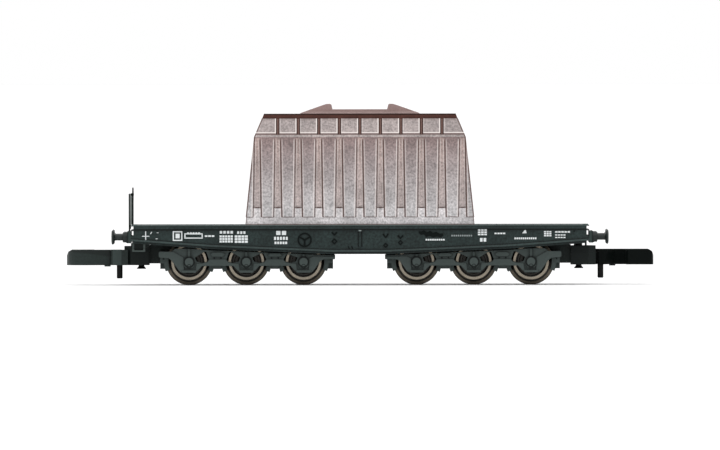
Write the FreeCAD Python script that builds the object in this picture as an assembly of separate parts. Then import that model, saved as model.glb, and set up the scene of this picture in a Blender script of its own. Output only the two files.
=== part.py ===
"""Model flat car, scale 1:220, 6.5 mm gauge, with a removable ribbed hood on its deck.

Units are millimetres. +X runs along the car, the near side is -Y and +Z is up.
The origin is under the middle of the car, level with the bottoms of the wheel flanges.
Everything that exists at both ends is modelled at the +X end ("right") and turned
half a turn about Z for the -X end ("left").
"""
import FreeCAD, Part
import math
import os

# ---------------------------------------------------------------- driving dimensions
# Track and wheels
FLANGE_RADIUS = 2.80
TREAD_RADIUS = 2.25
AXLE_Z = FLANGE_RADIUS
WHEEL_BACK_Y = 2.95
WHEEL_FACE_Y = 4.35
AXLE_RADIUS = 0.50
AXLE_BODY_END_Y = 4.62
BUSH_WALL = 0.20
JOURNAL_RADIUS = 0.25
JOURNAL_END_Y = 5.52
AXLE_SPACING = 6.90

# Bogies
PIVOT_X = 13.71
BOGIE_INNER_END = -10.70
BOGIE_OUTER_END = 10.56
STUB_TOP_Z = 4.06
STUB_BOTTOM_Z = 3.33
STRUT_FOOT_Z = 3.12
FRAME_HIGHEST_Z = 4.40
FRAME_TOP_GAP = 0.16
PEDESTAL_BOTTOM_Z = 1.50
TIE_BAR_BOTTOM_Z = 2.33
SIDE_FRAME_INNER_Y = 5.00
SIDE_FRAME_PLATE_Y = 5.30
RELIEF_FACE_Y = 5.45
PEDESTAL_FACE_Y = 5.50
HOUSING_FACE_Y = 5.60
AXLE_BOX_FACE_Y = 5.90
AXLE_BOX_RADIUS = 0.53
SPRING_SEAT_RADIUS = 0.20
SPRING_SEAT_Z = 2.28
SPRING_SEAT_FACE_Y = 5.78
BRACKET_HOLE_RADIUS = 0.10
BRACKET_HOLE_Z = 3.28
BRACKET_HOLE_BACK_Y = 5.15
SHOE_INNER_Y = 3.55
SHOE_OUTER_Y = 4.45
SHOE_THICKNESS = 0.55
SHOE_GAP = 0.25
BRAKE_END_BEAMS = ((-10.45, -10.10, 3.10), (10.05, 10.40, 3.44))
BRAKE_END_BEAM_BOTTOM_Z = 2.62
BRAKE_LINK_TOP_Z = 3.09
BRAKE_LINK_START = 9.60
BRAKE_HANGER_START = 9.00
BRAKE_BEAM_HALF_WIDTH = 0.45
BRAKE_BEAM_BOTTOM_Z = 1.95
BRAKE_BEAM_TOP_Z = 2.65
PULL_ROD_INNER_Y = 1.62
PULL_ROD_OUTER_Y = 2.02
PULL_ROD_TOP_Z = 2.15
NECK_HALF_WIDTH = 1.50
SPINE_HALF_WIDTH = 2.45
SPINE_BOTTOM_Z = 3.50
SPINE_TOP_Z = 4.38
NECK_TOP_Z = 4.82
PIVOT_PLATE_TOP_Z = 5.10
PIVOT_PLATE_RADIUS = 2.30
KING_PIN_RADIUS = 0.80
KING_PIN_HEAD_RADIUS = 1.25
KING_PIN_HEAD_HEIGHT = 0.42
KING_PIN_THREAD_RADIUS = 0.45
KING_PIN_THREAD_TOP_Z = 6.25
KING_PIN_SLOT_WIDTH = 0.26
RUNNING_CLEARANCE = 0.05

# Underframe and deck
DECK_TOP_Z = 7.26
FLANGE_BOTTOM_Z = 6.75
FLOOR_BOTTOM_Z = 5.90
FLOOR_TOP_Z = 6.50
WEB_INNER_Y = 6.20
WEB_OUTER_Y = 6.60
TOP_FLANGE_Y = 6.90
BOTTOM_FLANGE_Y = 6.75
KEEL_OUTER_Y = 6.32
BOTTOM_FLANGE_LOW = 0.27
BOTTOM_FLANGE_HIGH = 0.53
FLOOR_HALF_LENGTH = 27.10
SILL_HALF_LENGTH = 27.30
HEADSTOCK_INNER_X = 27.62
HEADSTOCK_OUTER_X = 27.92
HEADSTOCK_BOTTOM_Z = 5.08
HEADSTOCK_TOP_Z = 6.47
BELLY_FLAT_X = 3.30
BELLY_KNEE_X = 17.90
BELLY_FLAT_Z = 3.74
BELLY_KNEE_Z = 4.37
SILL_END_Z = 5.05
SILL_TONGUE_TOP_Z = 5.95
SILL_LIP_HEIGHT = 0.15
END_RIB_BOTTOM_Z = 6.55
END_RIB_TOP_Z = 6.68
END_LEDGE_X = 26.90
END_LEDGE_BOTTOM_Z = 6.40
END_BEAM_INNER_X = 26.40
END_BEAM_BOTTOM_Z = 5.20
CROSS_RIB_BOTTOM_Z = 5.70
CROSS_RIB_X = (-9.0, -4.6, 4.6, 9.0)
CROSS_RIB_HALF_WIDTH = 0.20
SCREW_HOLE_TOP_Z = 6.30
RELIEF_WHEEL_X = -6.67
RELIEF_WHEEL_Z = 5.46
RELIEF_WHEEL_RADIUS = 0.86
RELIEF_HEIGHT = 0.10
SILL_POST_HALF_WIDTH = 0.11
SILL_POST_CAP_HALF_WIDTH = 0.44
SILL_POST_BOTTOM_Z = 4.62
SILL_POST_TOP_Z = 6.45
PLANK_PITCH = 1.10
PLANK_GAP = 0.08
PLANK_MARGIN = 0.40
FLOOR_SECTION_PLANKS = 13
FLOOR_END_GAP = 0.20
LUG_X = (11.60, 12.60)
LUG_Y = (3.60, 4.60)
LUG_HEIGHT = 0.50

# Buffers
BUFFER_FACE_X = 30.00
BUFFER_Z = 5.78
BUFFER_Y = 3.98
BUFFER_DISC_RADIUS = 0.87
BUFFER_SHANK_RADIUS = 0.38
BUFFER_SLEEVE_RADIUS = 0.62
BUFFER_SLEEVE_END_X = 28.62
BUFFER_TAIL_RADIUS = 0.40
BUFFER_SEAT_HALF_WIDTH = 0.80
BUFFER_SEAT_HALF_HEIGHT = 0.72
BUFFER_SEAT_THICKNESS = 0.14
HEADSTOCK_TAB_HALF_WIDTH = 0.90
HEADSTOCK_TAB_Z = (5.30, 5.80)
DRAW_PLATE_HALF_WIDTH = 0.70
DRAW_PLATE_THICKNESS = 0.10
DRAW_PLATE_Z = (5.30, 6.30)

# Coupler and its pocket
COUPLER_PIVOT_X = 26.40
COUPLER_TIP_X = 35.40
COUPLER_BOTTOM_Z = 2.40
COUPLER_TOP_Z = 4.27
COUPLER_PIN_RADIUS = 0.35
POCKET_BACK_X = 25.42
POCKET_MOUTH_X = 28.45
POCKET_SHOULDER_X = 27.60
POCKET_HALF_WIDTH = 2.20
POCKET_MOUTH_HALF_WIDTH = 1.50
POCKET_WALL = 0.30
POCKET_FLOOR_Z = 2.72
POCKET_LID_Z = 4.00
POCKET_TOP_Z = 4.70
COUPLER_SHOULDER_RADIUS = 2.62
COUPLER_TAIL_HALF_WIDTH = 0.58
UNCOUPLING_PIN_X = 29.03
UNCOUPLING_PIN_RADIUS = 0.36
UNCOUPLING_PIN_BOTTOM_Z = 0.78
UNCOUPLING_PIN_TOP_Z = 3.64
COUPLER_EYE_RADIUS = 0.64
CENTRING_PEG_X = 27.55
CENTRING_PEG_RADIUS = 0.20
SPRING_ARM_INNER_Y = 0.25
SPRING_ARM_OUTER_Y = 0.36
SPRING_BACK_X = 28.25
SPRING_BAND = 0.12

# End railing and brake handwheel, at the left end
RAILING_X = -27.77
RAILING_WIDTH = 0.26
RAILING_TOP_Z = 11.00
RAILING_POST_Y = 3.30
HANDWHEEL_X = -27.42
HANDWHEEL_Z = 10.92
HANDWHEEL_RADIUS = 0.85
HANDWHEEL_RIM_RADIUS = 0.09
RAIL_HEIGHT = 0.22
MIDDLE_RAIL_Z = 9.15
BRAKE_COLUMN_HALF_WIDTH = 0.24
BRAKE_BOSS_RADIUS = 0.20
BRAKE_BOSS_Z = 10.78
FOOTSTEP_OUTER_X = 27.45
FOOTSTEP_INNER_X = 25.88
FOOTSTEP_STRAP_WIDTH = 0.24
FOOTSTEP_STRAP_TOP_Z = 5.75
FOOTSTEP_TREAD_Z = 4.06
FOOTSTEP_TREAD_THICKNESS = 0.16
FOOTSTEP_FRONT_Y = 6.70
FOOTSTEP_BACK_X = (25.36, 27.60)
FOOTSTEP_BACK_THICKNESS = 0.12
FOOTSTEP_BACK_TOP_Z = 5.10
FOOTSTEP_EAR_Z = 4.50
FOOTSTEP_EAR_RISE = 0.16
BALLAST_HALF_LENGTH = 2.30
BALLAST_HALF_WIDTH = 5.60
BALLAST_BOTTOM_Z = 4.05
BALLAST_CHAMFER = 0.15

# Hood
HOOD_BASE_X = 13.87
HOOD_BASE_Y = 6.36
HOOD_KNEE_X = 12.77
HOOD_KNEE_Y = 5.26
HOOD_KNEE_Z = 17.84
HOOD_ROOF_X = 11.59
HOOD_ROOF_Y = 4.08
HOOD_ROOF_Z = 20.64
HOOD_WALL = 0.75
RIM_TOP_Z = 8.20
FOOT_TOP_Z = 9.30
TILE_BOTTOM_Z = 18.14
TILE_TOP_Z = 20.08
BAND_PITCH = 2.474
END_BAND_PITCH = 2.42
BAND_WIDTH_TOP = 0.65
BAND_WIDTH_BOTTOM = 0.93
BAND_DEPTH = 0.35
RIM_STEP = 0.06
GROOVE_WIDTH = 0.41
GROOVE_DEPTH = 0.22
END_STRIP_DEPTH = 0.04
GROOVES_EACH_SIDE = 4
BANDS_EACH_SIDE = 5
END_GROOVES_EACH_SIDE = 1
END_BANDS_EACH_SIDE = 2
SADDLE_HALF_WIDTH = 1.90
SADDLE_SEAT_Z = 21.17
SADDLE_SLOT_HALF_LENGTH = 2.60
SADDLE_SLOT_HALF_WIDTH = 0.80
SADDLE_SLOT_BOTTOM_Z = 20.92

# Reach of a cutting tool beyond the piece that it cuts
OUTSIDE = 9.0
AXLE_OFFSETS = {"inner": -AXLE_SPACING, "middle": 0.0, "outer": AXLE_SPACING}


# ---------------------------------------------------------------- shape helpers
def point(x, y, z):
    return FreeCAD.Vector(x, y, z)


def block(x0, x1, y0, y1, z0, z1):
    """Box between two corners."""
    return Part.makeBox(x1 - x0, y1 - y0, z1 - z0, point(x0, y0, z0))


def prism(plane, outline, start, end):
    """Straight-sided outline in a plane, pushed from start to end along the third axis."""
    place = {
        "xz": lambda a, b: point(a, start, b),
        "xy": lambda a, b: point(a, b, start),
        "yz": lambda a, b: point(start, a, b),
    }[plane]
    push = {
        "xz": point(0, end - start, 0),
        "xy": point(0, 0, end - start),
        "yz": point(end - start, 0, 0),
    }[plane]
    corners = [place(a, b) for a, b in outline]
    face = Part.Face(Part.makePolygon(corners + [corners[0]]))
    return face.extrude(push)


def rod(axis, centre, radius, start, end):
    """Cylinder along an axis; centre is its place across that axis."""
    base = {
        "x": point(start, *centre),
        "y": point(centre[0], start, centre[1]),
        "z": point(centre[0], centre[1], start),
    }[axis]
    direction = {"x": point(1, 0, 0), "y": point(0, 1, 0), "z": point(0, 0, 1)}[axis]
    return Part.makeCylinder(radius, end - start, base, direction)


def turned_about_y(outline, x, z):
    """Solid of revolution about the line through (x, z) along Y, from (radius, y) points."""
    corners = [point(x + radius, y, z) for radius, y in outline]
    face = Part.Face(Part.makePolygon(corners + [corners[0]]))
    return face.revolve(point(x, 0, z), point(0, 1, 0), 360)


def turned_about_x(outline, y, z):
    """Solid of revolution about the line through (y, z) along X, from (radius, x) points."""
    corners = [point(x, y, z + radius) for radius, x in outline]
    face = Part.Face(Part.makePolygon(corners + [corners[0]]))
    return face.revolve(point(0, y, z), point(1, 0, 0), 360)


def tapered_box(lower, upper):
    """Flat-sided solid between two level rectangles, each (x0, x1, y0, y1, z)."""
    rings = []
    for x0, x1, y0, y1, z in (lower, upper):
        rings.append([point(x0, y0, z), point(x1, y0, z), point(x1, y1, z), point(x0, y1, z)])
    bottom, top = rings
    sides = [[bottom[i], bottom[(i + 1) % 4], top[(i + 1) % 4], top[i]] for i in range(4)]
    faces = [Part.Face(Part.makePolygon(corners + [corners[0]])) for corners in [bottom, top] + sides]
    return Part.makeSolid(Part.makeShell(faces))


def frustum(half_x0, half_y0, z0, half_x1, half_y1, z1):
    """Four-sided tapered solid between two centred rectangles."""
    return tapered_box((-half_x0, half_x0, -half_y0, half_y0, z0), (-half_x1, half_x1, -half_y1, half_y1, z1))


def join(shapes):
    """One clean solid from touching or overlapping solids."""
    return shapes[0].multiFuse(shapes[1:]).removeSplitter()


def mirror_y(shape):
    return shape.mirror(point(0, 0, 0), point(0, 1, 0))


def mirror_x(shape):
    return shape.mirror(point(0, 0, 0), point(1, 0, 0))


def half_turn(shape):
    """The same piece at the other end of the car."""
    turned = shape.copy()
    turned.rotate(point(0, 0, 0), point(0, 0, 1), 180)
    return turned


def both_sides(shape):
    return [shape, mirror_y(shape)]


# ---------------------------------------------------------------- car body
def belly_z(x):
    """Height of the side sill's lower edge."""
    distance = abs(x)
    if distance <= BELLY_FLAT_X:
        return BELLY_FLAT_Z
    if distance <= BELLY_KNEE_X:
        share = (distance - BELLY_FLAT_X) / (BELLY_KNEE_X - BELLY_FLAT_X)
        return BELLY_FLAT_Z + share * (BELLY_KNEE_Z - BELLY_FLAT_Z)
    share = (distance - BELLY_KNEE_X) / (SILL_HALF_LENGTH - BELLY_KNEE_X)
    return BELLY_KNEE_Z + share * (SILL_END_Z - BELLY_KNEE_Z)


def belly_line(end_x, lift=0.0):
    """Points along the sill's lower edge from one end of the car to the other."""
    stations = [-end_x, -BELLY_KNEE_X, -BELLY_FLAT_X, BELLY_FLAT_X, BELLY_KNEE_X, end_x]
    return [(x, belly_z(x) + lift) for x in stations]


def spoked_ring(x, z, radius, face_y, height):
    """Small three-spoked handwheel in relief on a face that looks towards -Y."""
    rim_width = 0.17
    hub_radius = 0.16
    spoke_half_width = 0.09
    rim = rod("y", (x, z), radius, face_y - height, face_y)
    parts = [rim.cut(rod("y", (x, z), radius - rim_width, face_y - OUTSIDE, face_y))]
    parts.append(rod("y", (x, z), hub_radius, face_y - height, face_y))
    for index in range(3):
        spoke = block(
            x - spoke_half_width, x + spoke_half_width, face_y - height, face_y, z, z + radius - rim_width / 2
        )
        spoke.rotate(point(x, 0, z), point(0, 1, 0), 60 + 120 * index)
        parts.append(spoke)
    return join(parts)


def side_sill():
    """Near-side I-beam sill with a fish-belly lower edge, and its moulded relief."""
    web_outline = belly_line(HEADSTOCK_INNER_X, BOTTOM_FLANGE_LOW) + [
        (HEADSTOCK_INNER_X, SILL_TONGUE_TOP_Z),
        (SILL_HALF_LENGTH, SILL_TONGUE_TOP_Z),
        (SILL_HALF_LENGTH, DECK_TOP_Z),
        (-SILL_HALF_LENGTH, DECK_TOP_Z),
        (-SILL_HALF_LENGTH, SILL_TONGUE_TOP_Z),
        (-HEADSTOCK_INNER_X, SILL_TONGUE_TOP_Z),
    ]
    web = prism("xz", web_outline, -WEB_OUTER_Y, -WEB_INNER_Y)
    top_flange = block(
        -SILL_HALF_LENGTH, SILL_HALF_LENGTH, -TOP_FLANGE_Y, -WEB_INNER_Y, FLANGE_BOTTOM_Z, DECK_TOP_Z
    )
    lip_bottom = DECK_TOP_Z - SILL_LIP_HEIGHT
    lip = block(
        -HEADSTOCK_INNER_X, HEADSTOCK_INNER_X, -TOP_FLANGE_Y, -WEB_INNER_Y, lip_bottom, DECK_TOP_Z
    )
    flange_outline = belly_line(SILL_HALF_LENGTH, BOTTOM_FLANGE_LOW)
    flange_outline += list(reversed(belly_line(SILL_HALF_LENGTH, BOTTOM_FLANGE_HIGH)))
    bottom_flange = prism("xz", flange_outline, -BOTTOM_FLANGE_Y, -WEB_INNER_Y)
    keel_outline = belly_line(SILL_HALF_LENGTH)
    keel_outline += list(reversed(belly_line(SILL_HALF_LENGTH, BOTTOM_FLANGE_LOW + 0.1)))
    keel = prism("xz", keel_outline, -KEEL_OUTER_Y, -WEB_INNER_Y)
    wheel_relief = spoked_ring(
        RELIEF_WHEEL_X, RELIEF_WHEEL_Z, RELIEF_WHEEL_RADIUS, -WEB_OUTER_Y, RELIEF_HEIGHT
    )
    body = join([web, top_flange, lip, bottom_flange, keel, wheel_relief])
    groove_half_width = 0.28
    groove_depth = 0.12
    rib_overlap = 0.05
    panel = block(
        -groove_half_width, groove_half_width, -OUTSIDE, -WEB_OUTER_Y + groove_depth,
        SILL_POST_BOTTOM_Z, SILL_POST_TOP_Z,
    )
    rib = block(
        -SILL_POST_HALF_WIDTH, SILL_POST_HALF_WIDTH,
        -WEB_OUTER_Y - RELIEF_HEIGHT, -WEB_INNER_Y - RELIEF_HEIGHT,
        SILL_POST_BOTTOM_Z - 0.07, SILL_POST_TOP_Z + rib_overlap,
    )
    head = block(
        -SILL_POST_CAP_HALF_WIDTH, SILL_POST_CAP_HALF_WIDTH, -WEB_OUTER_Y - groove_depth, -WEB_OUTER_Y,
        SILL_POST_TOP_Z, FLANGE_BOTTOM_Z,
    )
    foot = block(
        -SILL_POST_CAP_HALF_WIDTH, SILL_POST_CAP_HALF_WIDTH, -WEB_OUTER_Y - groove_depth / 2, -WEB_OUTER_Y,
        SILL_POST_BOTTOM_Z - groove_depth - RELIEF_HEIGHT, SILL_POST_BOTTOM_Z,
    )
    return join([body.cut(panel), rib, head, foot])


def underframe():
    """Die-cast frame: two sills, floor, end beams and the two bolster bosses."""
    sills = both_sides(side_sill())
    floor = block(
        -FLOOR_HALF_LENGTH, FLOOR_HALF_LENGTH, -WEB_INNER_Y, WEB_INNER_Y, FLOOR_BOTTOM_Z, FLOOR_TOP_Z
    )
    parts = sills + [floor]
    for side in (-1, 1):
        ends = sorted((side * FLOOR_HALF_LENGTH, side * HEADSTOCK_INNER_X))
        rib = block(ends[0], ends[1], -WEB_INNER_Y, WEB_INNER_Y, END_RIB_BOTTOM_Z, END_RIB_TOP_Z)
        ledge_ends = sorted((side * END_LEDGE_X, side * FLOOR_HALF_LENGTH))
        ledge = block(
            ledge_ends[0], ledge_ends[1], -WEB_INNER_Y, WEB_INNER_Y, END_LEDGE_BOTTOM_Z, END_RIB_TOP_Z
        )
        beam_ends = sorted((side * END_BEAM_INNER_X, side * FLOOR_HALF_LENGTH))
        beam = block(
            beam_ends[0], beam_ends[1], -WEB_INNER_Y, WEB_INNER_Y, END_BEAM_BOTTOM_Z, FLOOR_BOTTOM_Z
        )
        boss = rod("z", (side * PIVOT_X, 0), PIVOT_PLATE_RADIUS, PIVOT_PLATE_TOP_Z, FLOOR_BOTTOM_Z)
        parts += [rib, ledge, beam, boss]
    for x in CROSS_RIB_X:
        parts.append(
            block(
                x - CROSS_RIB_HALF_WIDTH, x + CROSS_RIB_HALF_WIDTH, -WEB_INNER_Y, WEB_INNER_Y,
                CROSS_RIB_BOTTOM_Z, FLOOR_BOTTOM_Z,
            )
        )
    body = join(parts)
    for side in (-1, 1):
        body = body.cut(
            rod("z", (side * PIVOT_X, 0), KING_PIN_THREAD_RADIUS, PIVOT_PLATE_TOP_Z - 1, SCREW_HOLE_TOP_Z)
        )
    return body


def deck_floor():
    """Planked floor insert in three sections, with four lugs that keep the hood in place."""
    half_width = WEB_INNER_Y
    half_length = FLOOR_HALF_LENGTH - FLOOR_END_GAP
    deck = block(-half_length, half_length, -half_width, half_width, FLOOR_TOP_Z, DECK_TOP_Z)
    gap_count = int(half_length / PLANK_PITCH)
    gaps = []
    for index in range(-gap_count, gap_count + 1):
        x = index * PLANK_PITCH
        reach = half_width if abs(index) == FLOOR_SECTION_PLANKS else half_width - PLANK_MARGIN
        gaps.append(
            block(
                x - PLANK_GAP / 2, x + PLANK_GAP / 2, -reach, reach,
                DECK_TOP_Z - PLANK_GAP, DECK_TOP_Z + 1,
            )
        )
    deck = deck.cut(Part.makeCompound(gaps))
    lugs = []
    for x in (-1, 1):
        for y in (-1, 1):
            lugs.append(
                block(
                    *sorted(x * reach for reach in LUG_X),
                    *sorted(y * reach for reach in LUG_Y),
                    DECK_TOP_Z - 0.2, DECK_TOP_Z + LUG_HEIGHT,
                )
            )
    return join([deck] + lugs)


def headstock():
    """Right end plate with two tabs into the end beam and a buffer seat on each side."""
    plate = block(
        HEADSTOCK_INNER_X, HEADSTOCK_OUTER_X, -WEB_OUTER_Y, WEB_OUTER_Y, HEADSTOCK_BOTTOM_Z, HEADSTOCK_TOP_Z
    )
    parts = [plate]
    for y in (-BUFFER_Y, BUFFER_Y):
        parts.append(
            block(
                FLOOR_HALF_LENGTH, HEADSTOCK_INNER_X,
                y - HEADSTOCK_TAB_HALF_WIDTH, y + HEADSTOCK_TAB_HALF_WIDTH, *HEADSTOCK_TAB_Z,
            )
        )
        parts.append(
            block(
                HEADSTOCK_OUTER_X, HEADSTOCK_OUTER_X + BUFFER_SEAT_THICKNESS,
                y - BUFFER_SEAT_HALF_WIDTH, y + BUFFER_SEAT_HALF_WIDTH,
                BUFFER_Z - BUFFER_SEAT_HALF_HEIGHT, BUFFER_Z + BUFFER_SEAT_HALF_HEIGHT,
            )
        )
    parts.append(
        block(
            HEADSTOCK_OUTER_X, HEADSTOCK_OUTER_X + DRAW_PLATE_THICKNESS,
            -DRAW_PLATE_HALF_WIDTH, DRAW_PLATE_HALF_WIDTH, *DRAW_PLATE_Z,
        )
    )
    body = join(parts)
    for y in (-BUFFER_Y, BUFFER_Y):
        body = body.cut(rod("x", (y, BUFFER_Z), BUFFER_TAIL_RADIUS, FLOOR_HALF_LENGTH, BUFFER_FACE_X))
    return body


def buffer(y):
    """Turned buffer: tail pressed into the headstock, sleeve, shank and domed disc."""
    seat_x = HEADSTOCK_OUTER_X + BUFFER_SEAT_THICKNESS
    disc_x = BUFFER_FACE_X - 0.34
    outline = [
        (0, HEADSTOCK_INNER_X),
        (BUFFER_TAIL_RADIUS, HEADSTOCK_INNER_X),
        (BUFFER_TAIL_RADIUS, seat_x),
        (BUFFER_SLEEVE_RADIUS, seat_x),
        (BUFFER_SLEEVE_RADIUS, BUFFER_SLEEVE_END_X - 0.08),
        (BUFFER_SLEEVE_RADIUS - 0.08, BUFFER_SLEEVE_END_X),
        (BUFFER_SHANK_RADIUS, BUFFER_SLEEVE_END_X),
        (BUFFER_SHANK_RADIUS, disc_x - 0.12),
        (BUFFER_SHANK_RADIUS + 0.16, disc_x),
        (BUFFER_DISC_RADIUS - 0.10, disc_x),
        (BUFFER_DISC_RADIUS, disc_x + 0.10),
        (BUFFER_DISC_RADIUS, BUFFER_FACE_X - 0.14),
        (BUFFER_DISC_RADIUS - 0.10, BUFFER_FACE_X - 0.05),
        (0.40, BUFFER_FACE_X - 0.005),
        (0, BUFFER_FACE_X),
    ]
    turned = turned_about_x(outline, y, BUFFER_Z)
    gusset_outline = [
        (seat_x, BUFFER_Z - BUFFER_SEAT_HALF_HEIGHT),
        (BUFFER_SLEEVE_END_X - 0.10, BUFFER_Z - 0.50),
        (BUFFER_SLEEVE_END_X - 0.10, BUFFER_Z),
        (seat_x, BUFFER_Z),
    ]
    gusset = prism("xz", gusset_outline, y - 0.16, y + 0.16)
    return join([turned, gusset])


def railing_post(y):
    """Channel post: a long outer leg on the headstock, a short inner leg and a thin web."""
    half = RAILING_WIDTH / 2
    above_deck = DECK_TOP_Z + 0.04
    outer_x = RAILING_X - half
    inner_x = HANDWHEEL_X + 0.05
    parts = [
        block(outer_x, RAILING_X, y - half, y + half, HEADSTOCK_TOP_Z, RAILING_TOP_Z),
        block(RAILING_X, inner_x, y, y + half, above_deck, RAILING_TOP_Z - 0.2),
        block(inner_x - 0.14, inner_x, y - half, y + half, above_deck, RAILING_TOP_Z - 0.2),
        block(outer_x, RAILING_X, y - 0.40, y + 0.40, HEADSTOCK_TOP_Z, HEADSTOCK_TOP_Z + 0.15),
    ]
    return join(parts)


def end_railing():
    """Two channel posts with a top and a middle rail, and the brake column between them."""
    half = RAILING_WIDTH / 2
    foot_z = HEADSTOCK_TOP_Z
    x0 = RAILING_X - half
    x1 = RAILING_X + half
    parts = [railing_post(y) for y in (-RAILING_POST_Y, RAILING_POST_Y)]
    for z in (MIDDLE_RAIL_Z, RAILING_TOP_Z - RAIL_HEIGHT):
        parts.append(block(x0, x1, -RAILING_POST_Y, RAILING_POST_Y, z, z + RAIL_HEIGHT))
    parts.append(
        block(x0, x1, -BRAKE_COLUMN_HALF_WIDTH, BRAKE_COLUMN_HALF_WIDTH, foot_z + 0.3, RAILING_TOP_Z)
    )
    parts.append(block(x0, RAILING_X, -0.55, 0.55, foot_z, foot_z + 0.3))
    parts.append(rod("x", (0, BRAKE_BOSS_Z), BRAKE_BOSS_RADIUS, x0, x1))
    return join(parts)


def brake_handwheel():
    """Handwheel with three spokes on a short spindle, facing along the car."""
    hub = point(HANDWHEEL_X, 0, HANDWHEEL_Z)
    along = point(1, 0, 0)
    ring_radius = HANDWHEEL_RADIUS - HANDWHEEL_RIM_RADIUS
    rim = Part.makeTorus(ring_radius, HANDWHEEL_RIM_RADIUS, hub, along)
    spindle = rod("x", (0, HANDWHEEL_Z), 0.16, RAILING_X + RAILING_WIDTH / 2, HANDWHEEL_X + 0.12)
    parts = [rim, spindle]
    for index in range(3):
        spoke = block(
            HANDWHEEL_X - 0.06, HANDWHEEL_X + 0.06, -0.07, 0.07, HANDWHEEL_Z, HANDWHEEL_Z + ring_radius
        )
        spoke.rotate(hub, along, 120 * index)
        parts.append(spoke)
    return join(parts)


def footstep():
    """Shunter's step, as it hangs at the left end of the near side: two straps and a tread."""
    outer_x = -FOOTSTEP_OUTER_X
    inner_x = -FOOTSTEP_INNER_X
    strap = FOOTSTEP_STRAP_WIDTH
    strap_outer = -WEB_INNER_Y
    strap_inner = strap_outer + 0.22
    tread_bottom = FOOTSTEP_TREAD_Z
    tread_front = -FOOTSTEP_FRONT_Y
    parts = []
    for x in (outer_x, inner_x - strap):
        parts.append(block(x, x + strap, strap_outer, strap_inner, tread_bottom, FOOTSTEP_STRAP_TOP_Z))
        parts.append(block(x, x + strap, tread_front, strap_inner, tread_bottom, tread_bottom + 0.3))
    tread_top = tread_bottom + FOOTSTEP_TREAD_THICKNESS
    parts.append(block(outer_x, inner_x, tread_front, strap_inner, tread_bottom, tread_top))
    return join(parts)


def footstep_back():
    """Plate behind the left footstep, with an ear on each side, that closes the space below the sill."""
    ear_inner_x, ear_outer_x = FOOTSTEP_BACK_X
    ear_top = FOOTSTEP_EAR_Z + FOOTSTEP_EAR_RISE
    outline = [
        (-FOOTSTEP_OUTER_X, FOOTSTEP_TREAD_Z),
        (-FOOTSTEP_INNER_X, FOOTSTEP_TREAD_Z),
        (-FOOTSTEP_INNER_X, FOOTSTEP_EAR_Z),
        (-ear_inner_x, ear_top),
        (-ear_inner_x, FOOTSTEP_BACK_TOP_Z),
        (-ear_outer_x, FOOTSTEP_BACK_TOP_Z),
        (-ear_outer_x, ear_top),
        (-FOOTSTEP_OUTER_X, FOOTSTEP_EAR_Z),
    ]
    return prism("xz", outline, -WEB_INNER_Y, -WEB_INNER_Y + FOOTSTEP_BACK_THICKNESS)


def ballast_weight():
    """Steel block glued under the middle of the floor."""
    weight = block(
        -BALLAST_HALF_LENGTH, BALLAST_HALF_LENGTH, -BALLAST_HALF_WIDTH, BALLAST_HALF_WIDTH,
        BALLAST_BOTTOM_Z, FLOOR_BOTTOM_Z,
    )
    lower_edges = [edge for edge in weight.Edges if edge.BoundBox.ZMax < BALLAST_BOTTOM_Z + 0.01]
    return weight.makeChamfer(BALLAST_CHAMFER, lower_edges)


def king_pin():
    """Shouldered screw from below: slotted head, plain shoulder and threaded end."""
    x = PIVOT_X
    head_top = SPINE_TOP_Z - RUNNING_CLEARANCE
    head = rod("z", (x, 0), KING_PIN_HEAD_RADIUS, head_top - KING_PIN_HEAD_HEIGHT, head_top)
    shoulder = rod("z", (x, 0), KING_PIN_RADIUS, head_top, PIVOT_PLATE_TOP_Z)
    thread = rod("z", (x, 0), KING_PIN_THREAD_RADIUS, PIVOT_PLATE_TOP_Z, KING_PIN_THREAD_TOP_Z)
    screw = join([head, shoulder, thread])
    slot_half_width = KING_PIN_SLOT_WIDTH / 2
    slot = block(x - 1.5, x + 1.5, -slot_half_width, slot_half_width, head_top - 0.5, head_top - 0.24)
    return screw.cut(slot)


# ---------------------------------------------------------------- bogie
def frame_top_z(offset):
    """Top of the bogie side frame, which follows the sill above it."""
    return min(FRAME_HIGHEST_Z, belly_z(PIVOT_X + offset) - FRAME_TOP_GAP)


def from_axle(axle, side, outline):
    """Points given along the car from an axle of the right bogie, on one side of it."""
    return [(PIVOT_X + axle + side * along, z) for along, z in outline]


def strut_edge(end_z):
    """Lower edge of an end strut, concave along the tyre, from the frame's end to the pedestal."""
    return [
        (2.48, end_z), (2.05, 2.92), (1.72, 2.47), (1.42, 2.03), (1.12, 1.66), (0.85, PEDESTAL_BOTTOM_Z),
    ]


def bar_edge():
    """Lower edge from the tie bar down to the pedestal, on a side with a neighbouring axle."""
    return [(1.57, TIE_BAR_BOTTOM_Z), (1.27, 2.00), (0.97, 1.69), (0.75, PEDESTAL_BOTTOM_Z)]


def window_outline(axle, side):
    """Slanted opening between an axle box and the tie bar, bounded above by the strut's edge."""
    top = min(4.02, frame_top_z(axle + side * 1.85) - 0.12)
    return from_axle(
        axle, side,
        [(0.72, 3.34), (1.80, top), (2.08, top), (2.40, 3.12), (2.18, 2.84), (1.60, 2.70), (0.92, 2.86)],
    )


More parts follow.
